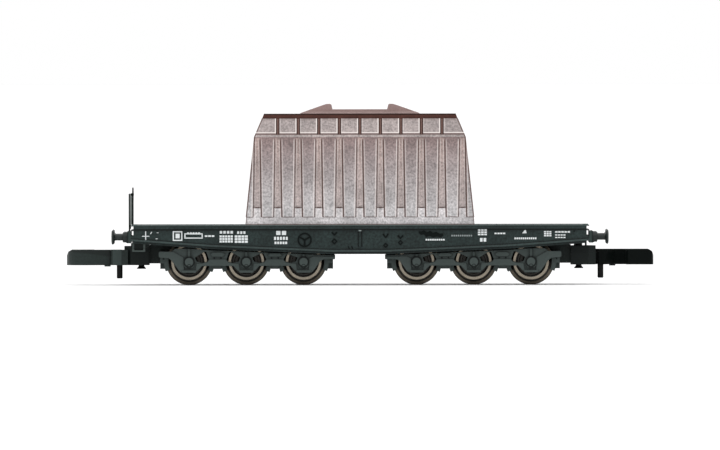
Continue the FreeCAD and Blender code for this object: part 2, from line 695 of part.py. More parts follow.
def side_frame():
    """Near-side frame of the right bogie: plate with slanted windows, and its raised members."""
    inner, outer = -AXLE_SPACING, AXLE_SPACING
    top = [
        (BOGIE_OUTER_END, STUB_TOP_Z),
        (9.00, STUB_TOP_Z),
        (8.60, FRAME_HIGHEST_Z),
        (6.90, FRAME_HIGHEST_Z),
        (BELLY_KNEE_X - PIVOT_X, frame_top_z(BELLY_KNEE_X - PIVOT_X)),
        (BOGIE_INNER_END, frame_top_z(BOGIE_INNER_END)),
    ]
    outline = [(PIVOT_X + offset, z) for offset, z in top]
    outline += from_axle(inner, -1, [(inner - BOGIE_INNER_END, STRUT_FOOT_Z)] + strut_edge(STRUT_FOOT_Z))
    for axle in (inner, 0.0):
        outline += from_axle(axle, 1, list(reversed(bar_edge())))
        outline += from_axle(axle + AXLE_SPACING, -1, bar_edge())
    outline += from_axle(outer, 1, list(reversed(strut_edge(STUB_BOTTOM_Z - 0.06))))
    stub_x = PIVOT_X + BOGIE_OUTER_END
    outline += [(stub_x - 0.13, STUB_BOTTOM_Z), (stub_x, STUB_BOTTOM_Z + 0.12)]
    plate = prism("xz", outline, -SIDE_FRAME_PLATE_Y, -SIDE_FRAME_INNER_Y)
    raised = []

    def raise_up(corners, face_y):
        raised.append(prism("xz", corners, -face_y, -SIDE_FRAME_PLATE_Y))

    outer_strut = [(0.66, 3.34), (1.90, STUB_TOP_Z), (3.53, STUB_TOP_Z), (3.66, STUB_TOP_Z - 0.11)]
    outer_strut += [(3.66, STUB_BOTTOM_Z + 0.12), (3.53, STUB_BOTTOM_Z)] + strut_edge(STUB_BOTTOM_Z - 0.06)
    raise_up(from_axle(outer, 1, outer_strut + [(0.62, 1.80)]), RELIEF_FACE_Y)
    inner_strut = [(0.66, 3.20), (1.15, 3.47), (3.80, 3.42), (3.80, STRUT_FOOT_Z)] + strut_edge(STRUT_FOOT_Z)
    raise_up(from_axle(inner, -1, inner_strut + [(0.62, 1.80)]), RELIEF_FACE_Y)
    for axle in (inner, 0.0, outer):
        x = PIVOT_X + axle
        foot = [(-0.95, 1.80), (-0.80, PEDESTAL_BOTTOM_Z), (0.80, PEDESTAL_BOTTOM_Z), (0.95, 1.80)]
        raise_up(from_axle(axle, 1, foot), PEDESTAL_FACE_Y)
        housing = [(-0.60, 3.16), (-0.60, 2.30), (-0.42, 2.10), (0.42, 2.10), (0.60, 2.30), (0.60, 3.16)]
        raise_up(from_axle(axle, 1, housing + [(0.34, 3.36), (-0.34, 3.36)]), HOUSING_FACE_Y)
        stem_top = frame_top_z(axle) - 0.02
        raised.append(block(x - 0.15, x + 0.15, -RELIEF_FACE_Y - 0.1, -SIDE_FRAME_PLATE_Y, 3.30, stem_top))
        raised.append(rod("y", (x, AXLE_Z), AXLE_BOX_RADIUS, -AXLE_BOX_FACE_Y, -SIDE_FRAME_PLATE_Y))
        seat = rod("y", (x, SPRING_SEAT_Z), SPRING_SEAT_RADIUS, -SPRING_SEAT_FACE_Y, -SIDE_FRAME_PLATE_Y)
        raised.append(seat)
    holes = []
    for middle in (inner / 2, outer / 2):
        half = AXLE_SPACING / 2
        bar = [(half - along, z) for along, z in bar_edge()]
        bar += [(half - 0.90, 2.62), (half - 1.60, 2.64), (half - 2.20, 2.78), (half - 2.44, 3.12)]
        bar = [(-along, z) for along, z in bar] + [(along, z) for along, z in reversed(bar)]
        raise_up(from_axle(middle, 1, bar), RELIEF_FACE_Y)
        high = min(3.96, frame_top_z(middle) - 0.04)
        lens = [(0.60, 3.44), (0.92, high - 0.24), (0.55, high)]
        lens = [(-along, z) for along, z in reversed(lens)] + lens
        raise_up(from_axle(middle, 1, lens), PEDESTAL_FACE_Y)
        for along in (-0.4, 0.4):
            place = (PIVOT_X + middle + along, BRACKET_HOLE_Z)
            holes.append(rod("y", place, BRACKET_HOLE_RADIUS, -OUTSIDE, -BRACKET_HOLE_BACK_Y))
    for axle, side in ((inner, 1), (0.0, -1), (0.0, 1), (outer, -1)):
        holes.append(prism("xz", window_outline(axle, side), -OUTSIDE, 0))
    return join([plate] + raised).cut(Part.makeCompound(holes))


def pocket_outline(inset):
    """Plan of the right coupler pocket, narrower at its mouth."""
    half = POCKET_HALF_WIDTH - inset
    mouth = POCKET_MOUTH_HALF_WIDTH - inset
    near = [(POCKET_BACK_X, -half), (POCKET_SHOULDER_X, -half), (POCKET_MOUTH_X, -mouth)]
    return near + [(x, -y) for x, y in reversed(near)]


def bogie_frame():
    """Right bogie: side frames, transoms, spine, pivot plate and the coupler pocket tray."""
    sides = both_sides(side_frame())
    parts = sides
    inner_y = SIDE_FRAME_INNER_Y
    for low, high, z0, z1 in (
        (-10.60, -10.05, 3.10, 3.50),
        (-3.80, -3.10, 2.65, 3.70),
        (3.10, 3.80, 2.65, 3.95),
        (9.95, 10.45, 3.44, 4.10),
    ):
        parts.append(block(PIVOT_X + low, PIVOT_X + high, -inner_y, inner_y, z0, z1))
    spine_outline = [
        (PIVOT_X - 10.60, SPINE_BOTTOM_Z - 0.10),
        (PIVOT_X + 10.00, SPINE_BOTTOM_Z - 0.10),
        (PIVOT_X + 10.00, NECK_TOP_Z),
        (PIVOT_X + 8.40, NECK_TOP_Z),
        (PIVOT_X + 7.40, SPINE_TOP_Z),
        (PIVOT_X - 6.00, SPINE_TOP_Z),
        (PIVOT_X - 10.60, SPINE_TOP_Z - 0.40),
    ]
    parts.append(prism("xz", spine_outline, -SPINE_HALF_WIDTH, SPINE_HALF_WIDTH))
    parts.append(rod("z", (PIVOT_X, 0), PIVOT_PLATE_RADIUS, SPINE_TOP_Z - 0.05, PIVOT_PLATE_TOP_Z))
    parts.append(
        block(
            PIVOT_X + 9.95, POCKET_BACK_X, -NECK_HALF_WIDTH, NECK_HALF_WIDTH,
            COUPLER_BOTTOM_Z + 0.2, NECK_TOP_Z,
        )
    )
    parts.append(prism("xy", pocket_outline(0), COUPLER_BOTTOM_Z, POCKET_LID_Z))
    frame = join(parts)
    cavity = prism("xy", pocket_outline(POCKET_WALL), POCKET_FLOOR_Z, POCKET_LID_Z + 1)
    pin_hole = rod("z", (COUPLER_PIVOT_X, 0), COUPLER_PIN_RADIUS, COUPLER_BOTTOM_Z - 1, POCKET_FLOOR_Z + 0.1)
    pivot_hole = rod("z", (PIVOT_X, 0), KING_PIN_RADIUS + RUNNING_CLEARANCE, 3, PIVOT_PLATE_TOP_Z + 1)
    head_recess = rod("z", (PIVOT_X, 0), KING_PIN_HEAD_RADIUS + 0.15, 3, SPINE_TOP_Z)
    tools = [cavity, pin_hole, pivot_hole, head_recess]
    for axle in AXLE_OFFSETS.values():
        bearing = rod(
            "y", (PIVOT_X + axle, AXLE_Z), JOURNAL_RADIUS + RUNNING_CLEARANCE,
            -JOURNAL_END_Y - 0.06, JOURNAL_END_Y + 0.06,
        )
        tools.append(bearing)
    return frame.cut(Part.makeCompound(tools)).removeSplitter()


def brake_shoe(axle_x, side, start, end, inner_y, outer_y):
    """Curved brake block beside a wheel, between two angles from the horizontal."""
    inner = TREAD_RADIUS + SHOE_GAP
    outer = inner + SHOE_THICKNESS
    steps = 4
    outline = []
    for radius, order in ((inner, range(steps + 1)), (outer, range(steps, -1, -1))):
        for step in order:
            angle = math.radians(start + (end - start) * step / steps)
            outline.append((axle_x + side * radius * math.cos(angle), AXLE_Z + radius * math.sin(angle)))
    return prism("xz", outline, inner_y, outer_y)


def brake_gear():
    """Brake gear of the right bogie: four beams with shoes, joined by two pull rods under the axles."""
    shoe_y = (SHOE_INNER_Y, SHOE_OUTER_Y)
    parts = []
    for low, high, top in BRAKE_END_BEAMS:
        side = math.copysign(1, low)
        end = low if side < 0 else high
        beam = block(
            PIVOT_X + low, PIVOT_X + high, -SHOE_OUTER_Y, SHOE_OUTER_Y, BRAKE_END_BEAM_BOTTOM_Z, top
        )
        link_ends = sorted((PIVOT_X + side * BRAKE_LINK_START, PIVOT_X + end))
        link = block(*link_ends, *shoe_y, BRAKE_END_BEAM_BOTTOM_Z, BRAKE_LINK_TOP_Z)
        shoe = brake_shoe(PIVOT_X + side * AXLE_SPACING, side, -22, 10, *shoe_y)
        hanger_ends = sorted((PIVOT_X + side * BRAKE_HANGER_START, PIVOT_X + end))
        hanger = block(
            *hanger_ends, PULL_ROD_INNER_Y, PULL_ROD_OUTER_Y, BRAKE_BEAM_BOTTOM_Z, BRAKE_LINK_TOP_Z
        )
        for piece in (shoe, link, hanger):
            parts += both_sides(piece)
        parts.append(beam)
    for middle in (-AXLE_SPACING / 2, AXLE_SPACING / 2):
        beam = block(
            PIVOT_X + middle - BRAKE_BEAM_HALF_WIDTH, PIVOT_X + middle + BRAKE_BEAM_HALF_WIDTH,
            -SHOE_OUTER_Y, SHOE_OUTER_Y, BRAKE_BEAM_BOTTOM_Z, BRAKE_BEAM_TOP_Z,
        )
        parts.append(beam)
        for side in (-1, 1):
            axle_x = PIVOT_X + middle - side * AXLE_SPACING / 2
            parts += both_sides(brake_shoe(axle_x, side, -24, -6, *shoe_y))
    rod_start = PIVOT_X + BRAKE_END_BEAMS[0][0]
    rod_end = PIVOT_X + BRAKE_END_BEAMS[1][1]
    parts += both_sides(
        block(rod_start, rod_end, PULL_ROD_INNER_Y, PULL_ROD_OUTER_Y, BRAKE_BEAM_BOTTOM_Z, PULL_ROD_TOP_Z)
    )
    neck_room = NECK_HALF_WIDTH + 0.04
    cutters = [block(POCKET_BACK_X - 3, POCKET_BACK_X, -neck_room, neck_room, 2, 5)]
    for axle in AXLE_OFFSETS.values():
        cutters += both_sides(rod("y", (PIVOT_X + axle, AXLE_Z), FLANGE_RADIUS + 0.12, -3.52, -2.5))
    return join(parts).cut(Part.makeCompound(cutters))


def pocket_cover():
    """Thick lid of the right coupler pocket, hollowed for the centring spring."""
    cover = prism("xy", pocket_outline(0), POCKET_LID_Z, POCKET_TOP_Z)
    hollow = block(27.00, SPRING_BACK_X, -1.00, 1.00, POCKET_LID_Z - 0.01, POCKET_TOP_Z - 0.15)
    hole = rod("z", (COUPLER_PIVOT_X, 0), COUPLER_PIN_RADIUS, POCKET_LID_Z - 1, POCKET_TOP_Z + 1)
    return cover.cut(hollow).cut(hole)


def coupler_pin():
    """Pivot pin of the right coupler: flared foot below the pocket, button above it."""
    foot = Part.makeCone(0.60, 0.36, 0.32, point(COUPLER_PIVOT_X, 0, 1.94), point(0, 0, 1))
    shank = rod("z", (COUPLER_PIVOT_X, 0), COUPLER_PIN_RADIUS, 2.0, POCKET_TOP_Z + 0.1)
    button = rod("z", (COUPLER_PIVOT_X, 0), 0.44, POCKET_TOP_Z, 5.02)
    return join([foot, shank, button])


def coupler_spring():
    """Hairpin leaf spring whose two arms hold the peg of the right coupler in the middle."""
    arm_z = (POCKET_LID_Z + 0.05, POCKET_TOP_Z - 0.25)
    arm = block(27.25, SPRING_BACK_X - 0.10, SPRING_ARM_INNER_Y, SPRING_ARM_OUTER_Y, *arm_z)
    parts = both_sides(arm)
    parts.append(
        block(SPRING_BACK_X - SPRING_BAND, SPRING_BACK_X, -SPRING_ARM_OUTER_Y, SPRING_ARM_OUTER_Y, *arm_z)
    )
    return join(parts)


def coupler_head():
    """Right coupler: tail with pivot eye, shank block and a claw that opens to the near side."""
    tail_z = (POCKET_FLOOR_Z + 0.05, POCKET_LID_Z - 0.06)
    eye = rod("z", (COUPLER_PIVOT_X, 0), COUPLER_EYE_RADIUS, *tail_z)
    tail = block(COUPLER_PIVOT_X, 29.5, -COUPLER_TAIL_HALF_WIDTH, COUPLER_TAIL_HALF_WIDTH, *tail_z)
    peg = rod("z", (CENTRING_PEG_X, 0), CENTRING_PEG_RADIUS, tail_z[0], tail_z[1] + 0.45)
    claw_outline = [
        (28.00, -1.00),
        (29.75, -1.00),
        (30.10, -0.35),
        (30.70, 0.55),
        (31.40, 0.85),
        (33.10, 0.85),
        (33.60, 0.55),
        (33.75, 0.05),
        (33.45, -0.55),
        (32.10, -0.90),
        (32.10, -1.95),
        (32.35, -2.20),
        (34.95, -2.20),
        (35.25, -2.00),
        (COUPLER_TIP_X, -1.60),
        (COUPLER_TIP_X, 0.30),
        (35.05, 1.25),
        (34.30, 1.95),
        (33.30, 2.20),
        (32.40, 2.10),
        (31.20, 1.82),
        (30.15, 1.66),
        (30.02, 2.20),
        (28.00, 2.20),
    ]
    claw = prism("xy", claw_outline, COUPLER_BOTTOM_Z, COUPLER_TOP_Z)
    claw = claw.cut(rod("z", (COUPLER_PIVOT_X, 0), COUPLER_SHOULDER_RADIUS, 2, 5))
    tab = block(30.10, 30.85, 0.90, 1.90, COUPLER_BOTTOM_Z - 0.16, COUPLER_BOTTOM_Z)
    head = join([eye, tail, peg, claw, tab])
    nose_outline = [
        (34.80, COUPLER_TOP_Z),
        (35.24, COUPLER_TOP_Z - 0.26),
        (COUPLER_TIP_X, COUPLER_TOP_Z - 0.72),
        (36.50, COUPLER_TOP_Z - 0.72),
        (36.50, 5.0),
        (34.80, 5.0),
    ]
    head = head.cut(prism("xz", nose_outline, -4, 4))
    eye_hole = rod("z", (COUPLER_PIVOT_X, 0), COUPLER_PIN_RADIUS + RUNNING_CLEARANCE, 2, 4.1)
    pin_hole = rod(
        "z", (UNCOUPLING_PIN_X, 0), UNCOUPLING_PIN_RADIUS, COUPLER_BOTTOM_Z - 1, UNCOUPLING_PIN_TOP_Z
    )
    return head.cut(eye_hole).cut(pin_hole)


def uncoupling_pin():
    """Plain pin pressed up into the right coupler; it is pushed up to part two couplers."""
    pin = rod(
        "z", (UNCOUPLING_PIN_X, 0), UNCOUPLING_PIN_RADIUS, UNCOUPLING_PIN_BOTTOM_Z, UNCOUPLING_PIN_TOP_Z
    )
    foot = [edge for edge in pin.Edges if edge.BoundBox.ZMax < UNCOUPLING_PIN_BOTTOM_Z + 0.01]
    return pin.makeChamfer(0.08, foot)


# ---------------------------------------------------------------- wheelsets
def axle(x):
    """Stepped steel axle with a thin journal at each end."""
    body = rod("y", (x, AXLE_Z), AXLE_RADIUS, -AXLE_BODY_END_Y, AXLE_BODY_END_Y)
    journals = rod("y", (x, AXLE_Z), JOURNAL_RADIUS, -JOURNAL_END_Y, JOURNAL_END_Y)
    return join([body, journals])


def wheel(x, bore):
    """Near-side wheel: flange, coned tread, raised tyre ring, dished web and hub."""
    outline = [
        (bore, -WHEEL_BACK_Y),
        (1.90, -WHEEL_BACK_Y),
        (2.62, -WHEEL_BACK_Y),
        (2.76, -WHEEL_BACK_Y - 0.07),
        (FLANGE_RADIUS, -WHEEL_BACK_Y - 0.20),
        (2.72, -WHEEL_BACK_Y - 0.33),
        (2.42, -WHEEL_BACK_Y - 0.44),
        (TREAD_RADIUS + 0.03, -WHEEL_BACK_Y - 0.56),
        (TREAD_RADIUS - 0.05, -WHEEL_FACE_Y + 0.06),
        (TREAD_RADIUS - 0.11, -WHEEL_FACE_Y),
        (1.80, -WHEEL_FACE_Y),
        (1.75, -WHEEL_FACE_Y + 0.06),
        (1.73, -WHEEL_FACE_Y + 0.44),
        (1.63, -WHEEL_FACE_Y + 0.44),
        (1.60, -WHEEL_FACE_Y + 0.14),
        (1.46, -WHEEL_FACE_Y + 0.14),
        (1.38, -WHEEL_FACE_Y + 0.40),
        (1.05, -WHEEL_FACE_Y + 0.40),
        (0.92, -WHEEL_FACE_Y + 0.28),
        (0.86, -WHEEL_FACE_Y),
        (bore, -WHEEL_FACE_Y),
    ]
    return turned_about_y(outline, x, AXLE_Z)


def insulating_bush(x):
    """Plastic sleeve between the axle and the far wheel."""
    outer = rod("y", (x, AXLE_Z), AXLE_RADIUS + BUSH_WALL, WHEEL_BACK_Y - 0.15, WHEEL_FACE_Y)
    return outer.cut(rod("y", (x, AXLE_Z), AXLE_RADIUS, 0, OUTSIDE))


# ---------------------------------------------------------------- hood
def hood_face_y(z):
    """Half-width of the hood's main faces at a height."""
    share = (z - DECK_TOP_Z) / (HOOD_KNEE_Z - DECK_TOP_Z)
    return HOOD_BASE_Y + share * (HOOD_KNEE_Y - HOOD_BASE_Y)


def hood_face_x(z):
    """Half-length of the hood's main faces at a height."""
    share = (z - DECK_TOP_Z) / (HOOD_KNEE_Z - DECK_TOP_Z)
    return HOOD_BASE_X + share * (HOOD_KNEE_X - HOOD_BASE_X)


def quarter_turn(shape):
    turned = shape.copy()
    turned.rotate(point(0, 0, 0), point(0, 0, 1), 90)
    return turned


def each_side(count):
    """Whole numbers from minus a count to plus that count."""
    return range(-count, count + 1)


def face_tools(half_depth, bands, grooves, pitch, strip_depth):
    """Cutting tools for one main face that looks towards -Y, with its recessed strip under the roof."""
    tools = []
    top = HOOD_KNEE_Z - 0.05
    for index in bands:
        x = index * pitch
        tools.append(
            tapered_box(
                (x - BAND_WIDTH_BOTTOM / 2, x + BAND_WIDTH_BOTTOM / 2,
                 -OUTSIDE * 2, -half_depth(FOOT_TOP_Z) + BAND_DEPTH, FOOT_TOP_Z),
                (x - BAND_WIDTH_TOP / 2, x + BAND_WIDTH_TOP / 2,
                 -OUTSIDE * 2, -half_depth(top) + 0.02, top),
            )
        )
        tools.append(
            tapered_box(
                (x - BAND_WIDTH_BOTTOM / 2 - 0.05, x + BAND_WIDTH_BOTTOM / 2 + 0.05,
                 -OUTSIDE * 2, -half_depth(RIM_TOP_Z) + RIM_STEP, RIM_TOP_Z - 0.01),
                (x - BAND_WIDTH_BOTTOM / 2, x + BAND_WIDTH_BOTTOM / 2,
                 -OUTSIDE * 2, -half_depth(FOOT_TOP_Z) + RIM_STEP, FOOT_TOP_Z),
            )
        )
    tools.append(
        tapered_box(
            (-OUTSIDE * 2, OUTSIDE * 2, -OUTSIDE * 2, -half_depth(DECK_TOP_Z) + RIM_STEP, DECK_TOP_Z - 0.01),
            (-OUTSIDE * 2, OUTSIDE * 2, -OUTSIDE * 2, -half_depth(RIM_TOP_Z) + RIM_STEP, RIM_TOP_Z),
        )
    )
    slope = (HOOD_KNEE_Y - HOOD_ROOF_Y) / (HOOD_ROOF_Z - HOOD_KNEE_Z)

    def chamfer_depth(z):
        return half_depth(HOOD_KNEE_Z) - slope * (z - HOOD_KNEE_Z)

    low = TILE_BOTTOM_Z
    for index in grooves:
        x = index * pitch
        tools.append(
            tapered_box(
                (x - GROOVE_WIDTH / 2, x + GROOVE_WIDTH / 2,
                 -OUTSIDE * 2, -chamfer_depth(low) + GROOVE_DEPTH, low),
                (x - GROOVE_WIDTH / 2, x + GROOVE_WIDTH / 2,
                 -OUTSIDE * 2, -chamfer_depth(TILE_TOP_Z) + GROOVE_DEPTH, TILE_TOP_Z),
            )
        )
    high = HOOD_ROOF_Z + 0.01
    tools.append(
        tapered_box(
            (-OUTSIDE * 2, OUTSIDE * 2, -OUTSIDE * 2, -chamfer_depth(TILE_TOP_Z) + strip_depth, TILE_TOP_Z),
            (-OUTSIDE * 2, OUTSIDE * 2, -OUTSIDE * 2, -chamfer_depth(high) + 0.02, high),
        )
    )
    return tools


def hood_shell():
    """Hollow hood, open below: leaning walls with tapered pads, chamfered shoulders, flat roof."""
    outer = join([
        frustum(HOOD_BASE_X, HOOD_BASE_Y, DECK_TOP_Z, HOOD_KNEE_X, HOOD_KNEE_Y, HOOD_KNEE_Z),
        frustum(HOOD_KNEE_X, HOOD_KNEE_Y, HOOD_KNEE_Z, HOOD_ROOF_X, HOOD_ROOF_Y, HOOD_ROOF_Z),
    ])
    wall = HOOD_WALL
    inner = join([
        frustum(
            HOOD_BASE_X - wall, HOOD_BASE_Y - wall, DECK_TOP_Z,
            HOOD_KNEE_X - wall, HOOD_KNEE_Y - wall, HOOD_KNEE_Z - 0.2,
        ),
        frustum(
            HOOD_KNEE_X - wall, HOOD_KNEE_Y - wall, HOOD_KNEE_Z - 0.2,
            HOOD_ROOF_X - wall, HOOD_ROOF_Y - wall, HOOD_ROOF_Z - wall,
        ),
        block(
            -HOOD_BASE_X + wall, HOOD_BASE_X - wall, -HOOD_BASE_Y + wall, HOOD_BASE_Y - wall,
            DECK_TOP_Z - 1, DECK_TOP_Z,
        ),
    ])
    near = face_tools(
        hood_face_y, each_side(BANDS_EACH_SIDE), each_side(GROOVES_EACH_SIDE), BAND_PITCH, GROOVE_DEPTH
    )
    end_tools = face_tools(
        hood_face_x, each_side(END_BANDS_EACH_SIDE), each_side(END_GROOVES_EACH_SIDE), END_BAND_PITCH,
        END_STRIP_DEPTH,
    )
    end = [quarter_turn(tool) for tool in end_tools]
    tools = near + [mirror_y(tool) for tool in near] + end + [mirror_x(tool) for tool in end]
    shell = outer
    for tool in tools:
        shell = shell.cut(tool)
    return shell.cut(inner).removeSplitter()


def lifting_saddle():
    """Raised saddle on the hood's roof, with two humps that keep a lifting beam between them."""
    half = [
        (7.20, HOOD_ROOF_Z),
        (7.20, HOOD_ROOF_Z + 0.08),
        (4.40, 21.70),
        (4.05, 21.81),
        (3.62, 21.83),
        (3.45, 21.76),
        (3.30, SADDLE_SEAT_Z),
    ]
    outline = half + [(-x, z) for x, z in reversed(half)]
    saddle = prism("xz", outline, -SADDLE_HALF_WIDTH, SADDLE_HALF_WIDTH)
    slot = block(
        -SADDLE_SLOT_HALF_LENGTH, SADDLE_SLOT_HALF_LENGTH, -SADDLE_SLOT_HALF_WIDTH, SADDLE_SLOT_HALF_WIDTH,
        SADDLE_SLOT_BOTTOM_Z, SADDLE_SEAT_Z + 1,
    )
    return saddle.cut(slot)


# ---------------------------------------------------------------- whole car
def all_nodes():
    nodes = {
        "underframe": underframe(),
        "deck_floor": deck_floor(),
        "end_railing": end_railing(),
        "brake_handwheel": brake_handwheel(),
        "ballast_weight": ballast_weight(),
        "hood_shell": hood_shell(),
        "lifting_saddle": lifting_saddle(),
        "footstep_left": join([footstep(), footstep_back()]),
        "footstep_right": half_turn(footstep()),
        "buffer_right_near": buffer(-BUFFER_Y),
        "buffer_right_far": buffer(BUFFER_Y),
        "buffer_left_far": half_turn(buffer(-BUFFER_Y)),
        "buffer_left_near": half_turn(buffer(BUFFER_Y)),
    }
    for name, maker in (
        ("headstock", headstock),
        ("king_pin", king_pin),
        ("bogie_frame", bogie_frame),
        ("brake_gear", brake_gear),
        ("pocket_cover", pocket_cover),
        ("coupler_pin", coupler_pin),
        ("coupler_spring", coupler_spring),
        ("coupler_head", coupler_head),
        ("uncoupling_pin", uncoupling_pin),
    ):
        shape = maker()
        nodes[name + "_right"] = shape
        nodes[name + "_left"] = half_turn(shape)
    for end, side in (("right", 1), ("left", -1)):
        for place, offset in AXLE_OFFSETS.items():
            x = side * (PIVOT_X + offset)
            suffix = end + "_" + place
            nodes["axle_" + suffix] = axle(x)
            nodes["near_wheel_" + suffix] = wheel(x, AXLE_RADIUS)
            nodes["far_wheel_" + suffix] = mirror_y(wheel(x, AXLE_RADIUS + BUSH_WALL))
            nodes["bush_" + suffix] = insulating_bush(x)
    return nodes


def main():
    os.makedirs("parts", exist_ok=True)
    box = FreeCAD.BoundBox()
    for name, shape in sorted(all_nodes().items()):
        shape.exportStep("parts/" + name + ".step")
        box.add(shape.BoundBox)
        facts = (name, len(shape.Solids), shape.isValid(), shape.Volume)
        print("%-28s solids %d valid %s volume %.4f" % facts)
    print("box", box)


main()
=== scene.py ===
"""Looks of the model flat car with its ribbed hood: pieces, materials, floor, lights and camera.

Lengths are given in millimetres and scaled by MM. +X runs along the car and the near side is -Y.
"""
import math

import bmesh
import bpy
from mathutils import Matrix, Vector


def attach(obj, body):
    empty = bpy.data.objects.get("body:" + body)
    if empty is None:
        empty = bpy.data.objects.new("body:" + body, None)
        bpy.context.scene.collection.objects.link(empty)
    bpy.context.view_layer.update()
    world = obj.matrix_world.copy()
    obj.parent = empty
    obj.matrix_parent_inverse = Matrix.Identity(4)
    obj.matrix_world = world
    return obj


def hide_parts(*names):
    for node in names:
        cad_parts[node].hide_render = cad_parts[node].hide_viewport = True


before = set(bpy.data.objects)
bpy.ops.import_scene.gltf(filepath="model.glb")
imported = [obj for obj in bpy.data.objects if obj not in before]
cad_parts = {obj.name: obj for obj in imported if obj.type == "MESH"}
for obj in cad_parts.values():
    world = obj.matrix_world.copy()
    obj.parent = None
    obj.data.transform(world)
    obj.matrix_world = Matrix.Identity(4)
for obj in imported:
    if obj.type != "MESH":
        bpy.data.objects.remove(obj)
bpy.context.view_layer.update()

MM = 0.001
ENDS = {"left": -1, "right": 1}
PLACES = ("inner", "middle", "outer")

# Places on the car, which the shapes and the painted patterns share.
PIVOT_X = 13.71
AXLE_SPACING = 6.90
AXLE_Z = 2.80
COUPLER_PIN_X = 26.40
UNCOUPLING_PIN_X = 29.03
WEB_Y = -6.60
RELIEF_WHEEL_X = -6.67
RELIEF_WHEEL_Z = 5.46
RELIEF_WHEEL_REACH = 0.95

# Lower edge of the side sill: flat in the middle, then rising more and more steeply.
BELLY_FLAT_Z = 3.74
BELLY_FLAT_X = 3.30
BELLY_KNEE_X = 17.90
BELLY_KNEE_RISE = 0.63
BELLY_SLOPE = BELLY_KNEE_RISE / (BELLY_KNEE_X - BELLY_FLAT_X)
BELLY_END_SLOPE = 0.68 / 9.40


# ---------------------------------------------------------------- material helpers
def srgb(red, green, blue):
    """Linear colour from 0-255 display values."""
    channels = []
    for value in (red, green, blue):
        share = value / 255
        channels.append(share / 12.92 if share <= 0.04045 else ((share + 0.055) / 1.055) ** 2.4)
    return (*channels, 1.0)


def node(tree, kind, **settings):
    made = tree.nodes.new(kind)
    for key, value in settings.items():
        setattr(made, key, value)
    return made


def noise(tree, size_mm, detail=2.0, roughness=0.5):
    """Noise texture in object space whose features are about size_mm across."""
    place = node(tree, "ShaderNodeTexCoord")
    texture = node(tree, "ShaderNodeTexNoise")
    texture.inputs["Scale"].default_value = 1 / (size_mm * MM)
    texture.inputs["Detail"].default_value = detail
    texture.inputs["Roughness"].default_value = roughness
    tree.links.new(place.outputs["Object"], texture.inputs["Vector"])
    return texture.outputs["Fac"]


def ramp(tree, value, stops):
    """Colour ramp from (position, colour) stops."""
    made = node(tree, "ShaderNodeValToRGB")
    elements = made.color_ramp.elements
    for index, (position, colour) in enumerate(stops):
        element = elements[index] if index < 2 else elements.new(position)
        element.position = position
        element.color = colour
    tree.links.new(value, made.inputs["Fac"])
    return made.outputs["Color"]


def span(tree, value, low, high, from_low=0.3, from_high=0.7):
    """Maps a texture's usual range to low..high."""
    made = node(tree, "ShaderNodeMapRange")
    made.inputs["From Min"].default_value = from_low
    made.inputs["From Max"].default_value = from_high
    made.inputs["To Min"].default_value = low
    made.inputs["To Max"].default_value = high
    tree.links.new(value, made.inputs["Value"])
    return made.outputs["Result"]


def blend_colours(tree, share, first, second, mode="MIX"):
    made = node(tree, "ShaderNodeMix", data_type="RGBA", blend_type=mode)
    for socket, given in ((made.inputs[0], share), (made.inputs[6], first), (made.inputs[7], second)):
        if isinstance(given, bpy.types.NodeSocket):
            tree.links.new(given, socket)
        else:
            socket.default_value = given
    return made.outputs[2]


def grey(level):
    return (level, level, level, 1.0)


def surface(
    name, colour, roughness=0.45, spread=0.12, grain=0.12, patches=3.0, crease_shade=0.55,
    edge=None, bump=0.25, metallic=0.0, specular=0.5, fade=None,
):
    """Moulded or painted surface: fine grain, soft patches, painted shade in inner corners and paler convex
    edges.

    spread is how strongly the grain and the patches vary the colour, and grain and patches are their
    sizes. The crease setting is how much painted shade darkens inner corners, and edge the colour of
    the paler convex edges. fade is (low z, high z, colour at high z) for a colour that changes with height.
    """
    material = bpy.data.materials.new(name)
    material.use_nodes = True
    tree = material.node_tree
    shader = tree.nodes["Principled BSDF"]
    fine = noise(tree, grain, 3.0, 0.6)
    broad = noise(tree, patches, 2.0)
    base = colour
    if fade:
        place = node(tree, "ShaderNodeTexCoord")
        split = node(tree, "ShaderNodeSeparateXYZ")
        tree.links.new(place.outputs["Object"], split.inputs["Vector"])
        height = span(tree, split.outputs["Z"], 0.0, 1.0, fade[0] * MM, fade[1] * MM)
        base = blend_colours(tree, height, colour, fade[2])
    speckle = ramp(tree, fine, [(0.30, grey(1 - spread)), (0.70, grey(1 + spread))])
    cloud = ramp(tree, broad, [(0.30, grey(1 - spread * 0.5)), (0.70, grey(1 + spread * 0.5))])
    tinted = blend_colours(tree, 1.0, base, speckle, "MULTIPLY")
    tinted = blend_colours(tree, 1.0, tinted, cloud, "MULTIPLY")
    # Convex edges are mixed towards the paler edge colour.
    if edge:
        inside = node(tree, "ShaderNodeAmbientOcclusion", samples=6, inside=True)
        inside.inputs["Distance"].default_value = 0.10 * MM
        pale_edge = span(tree, inside.outputs["AO"], 0.0, 0.8, 0.25, 0.75)
        tinted = blend_colours(tree, pale_edge, tinted, edge)
    # Painted shade: ambient occlusion darkens the colour in crevices and inner corners.
    if crease_shade:
        hollow = node(tree, "ShaderNodeAmbientOcclusion", samples=8)
        hollow.inputs["Distance"].default_value = 0.45 * MM
        shade = ramp(tree, hollow.outputs["AO"], [(0.25, grey(1 - crease_shade)), (0.95, grey(1.0))])
        tinted = blend_colours(tree, 1.0, tinted, shade, "MULTIPLY")
    tree.links.new(tinted, shader.inputs["Base Color"])
    gloss = span(tree, fine, roughness - 0.07, roughness + 0.10)
    tree.links.new(gloss, shader.inputs["Roughness"])
    relief = node(tree, "ShaderNodeBump")
    relief.inputs["Strength"].default_value = bump
    relief.inputs["Distance"].default_value = grain * MM * 0.25
    tree.links.new(fine, relief.inputs["Height"])
    tree.links.new(relief.outputs["Normal"], shader.inputs["Normal"])
    shader.inputs["Metallic"].default_value = metallic
    shader.inputs["Specular IOR Level"].default_value = specular
    return material


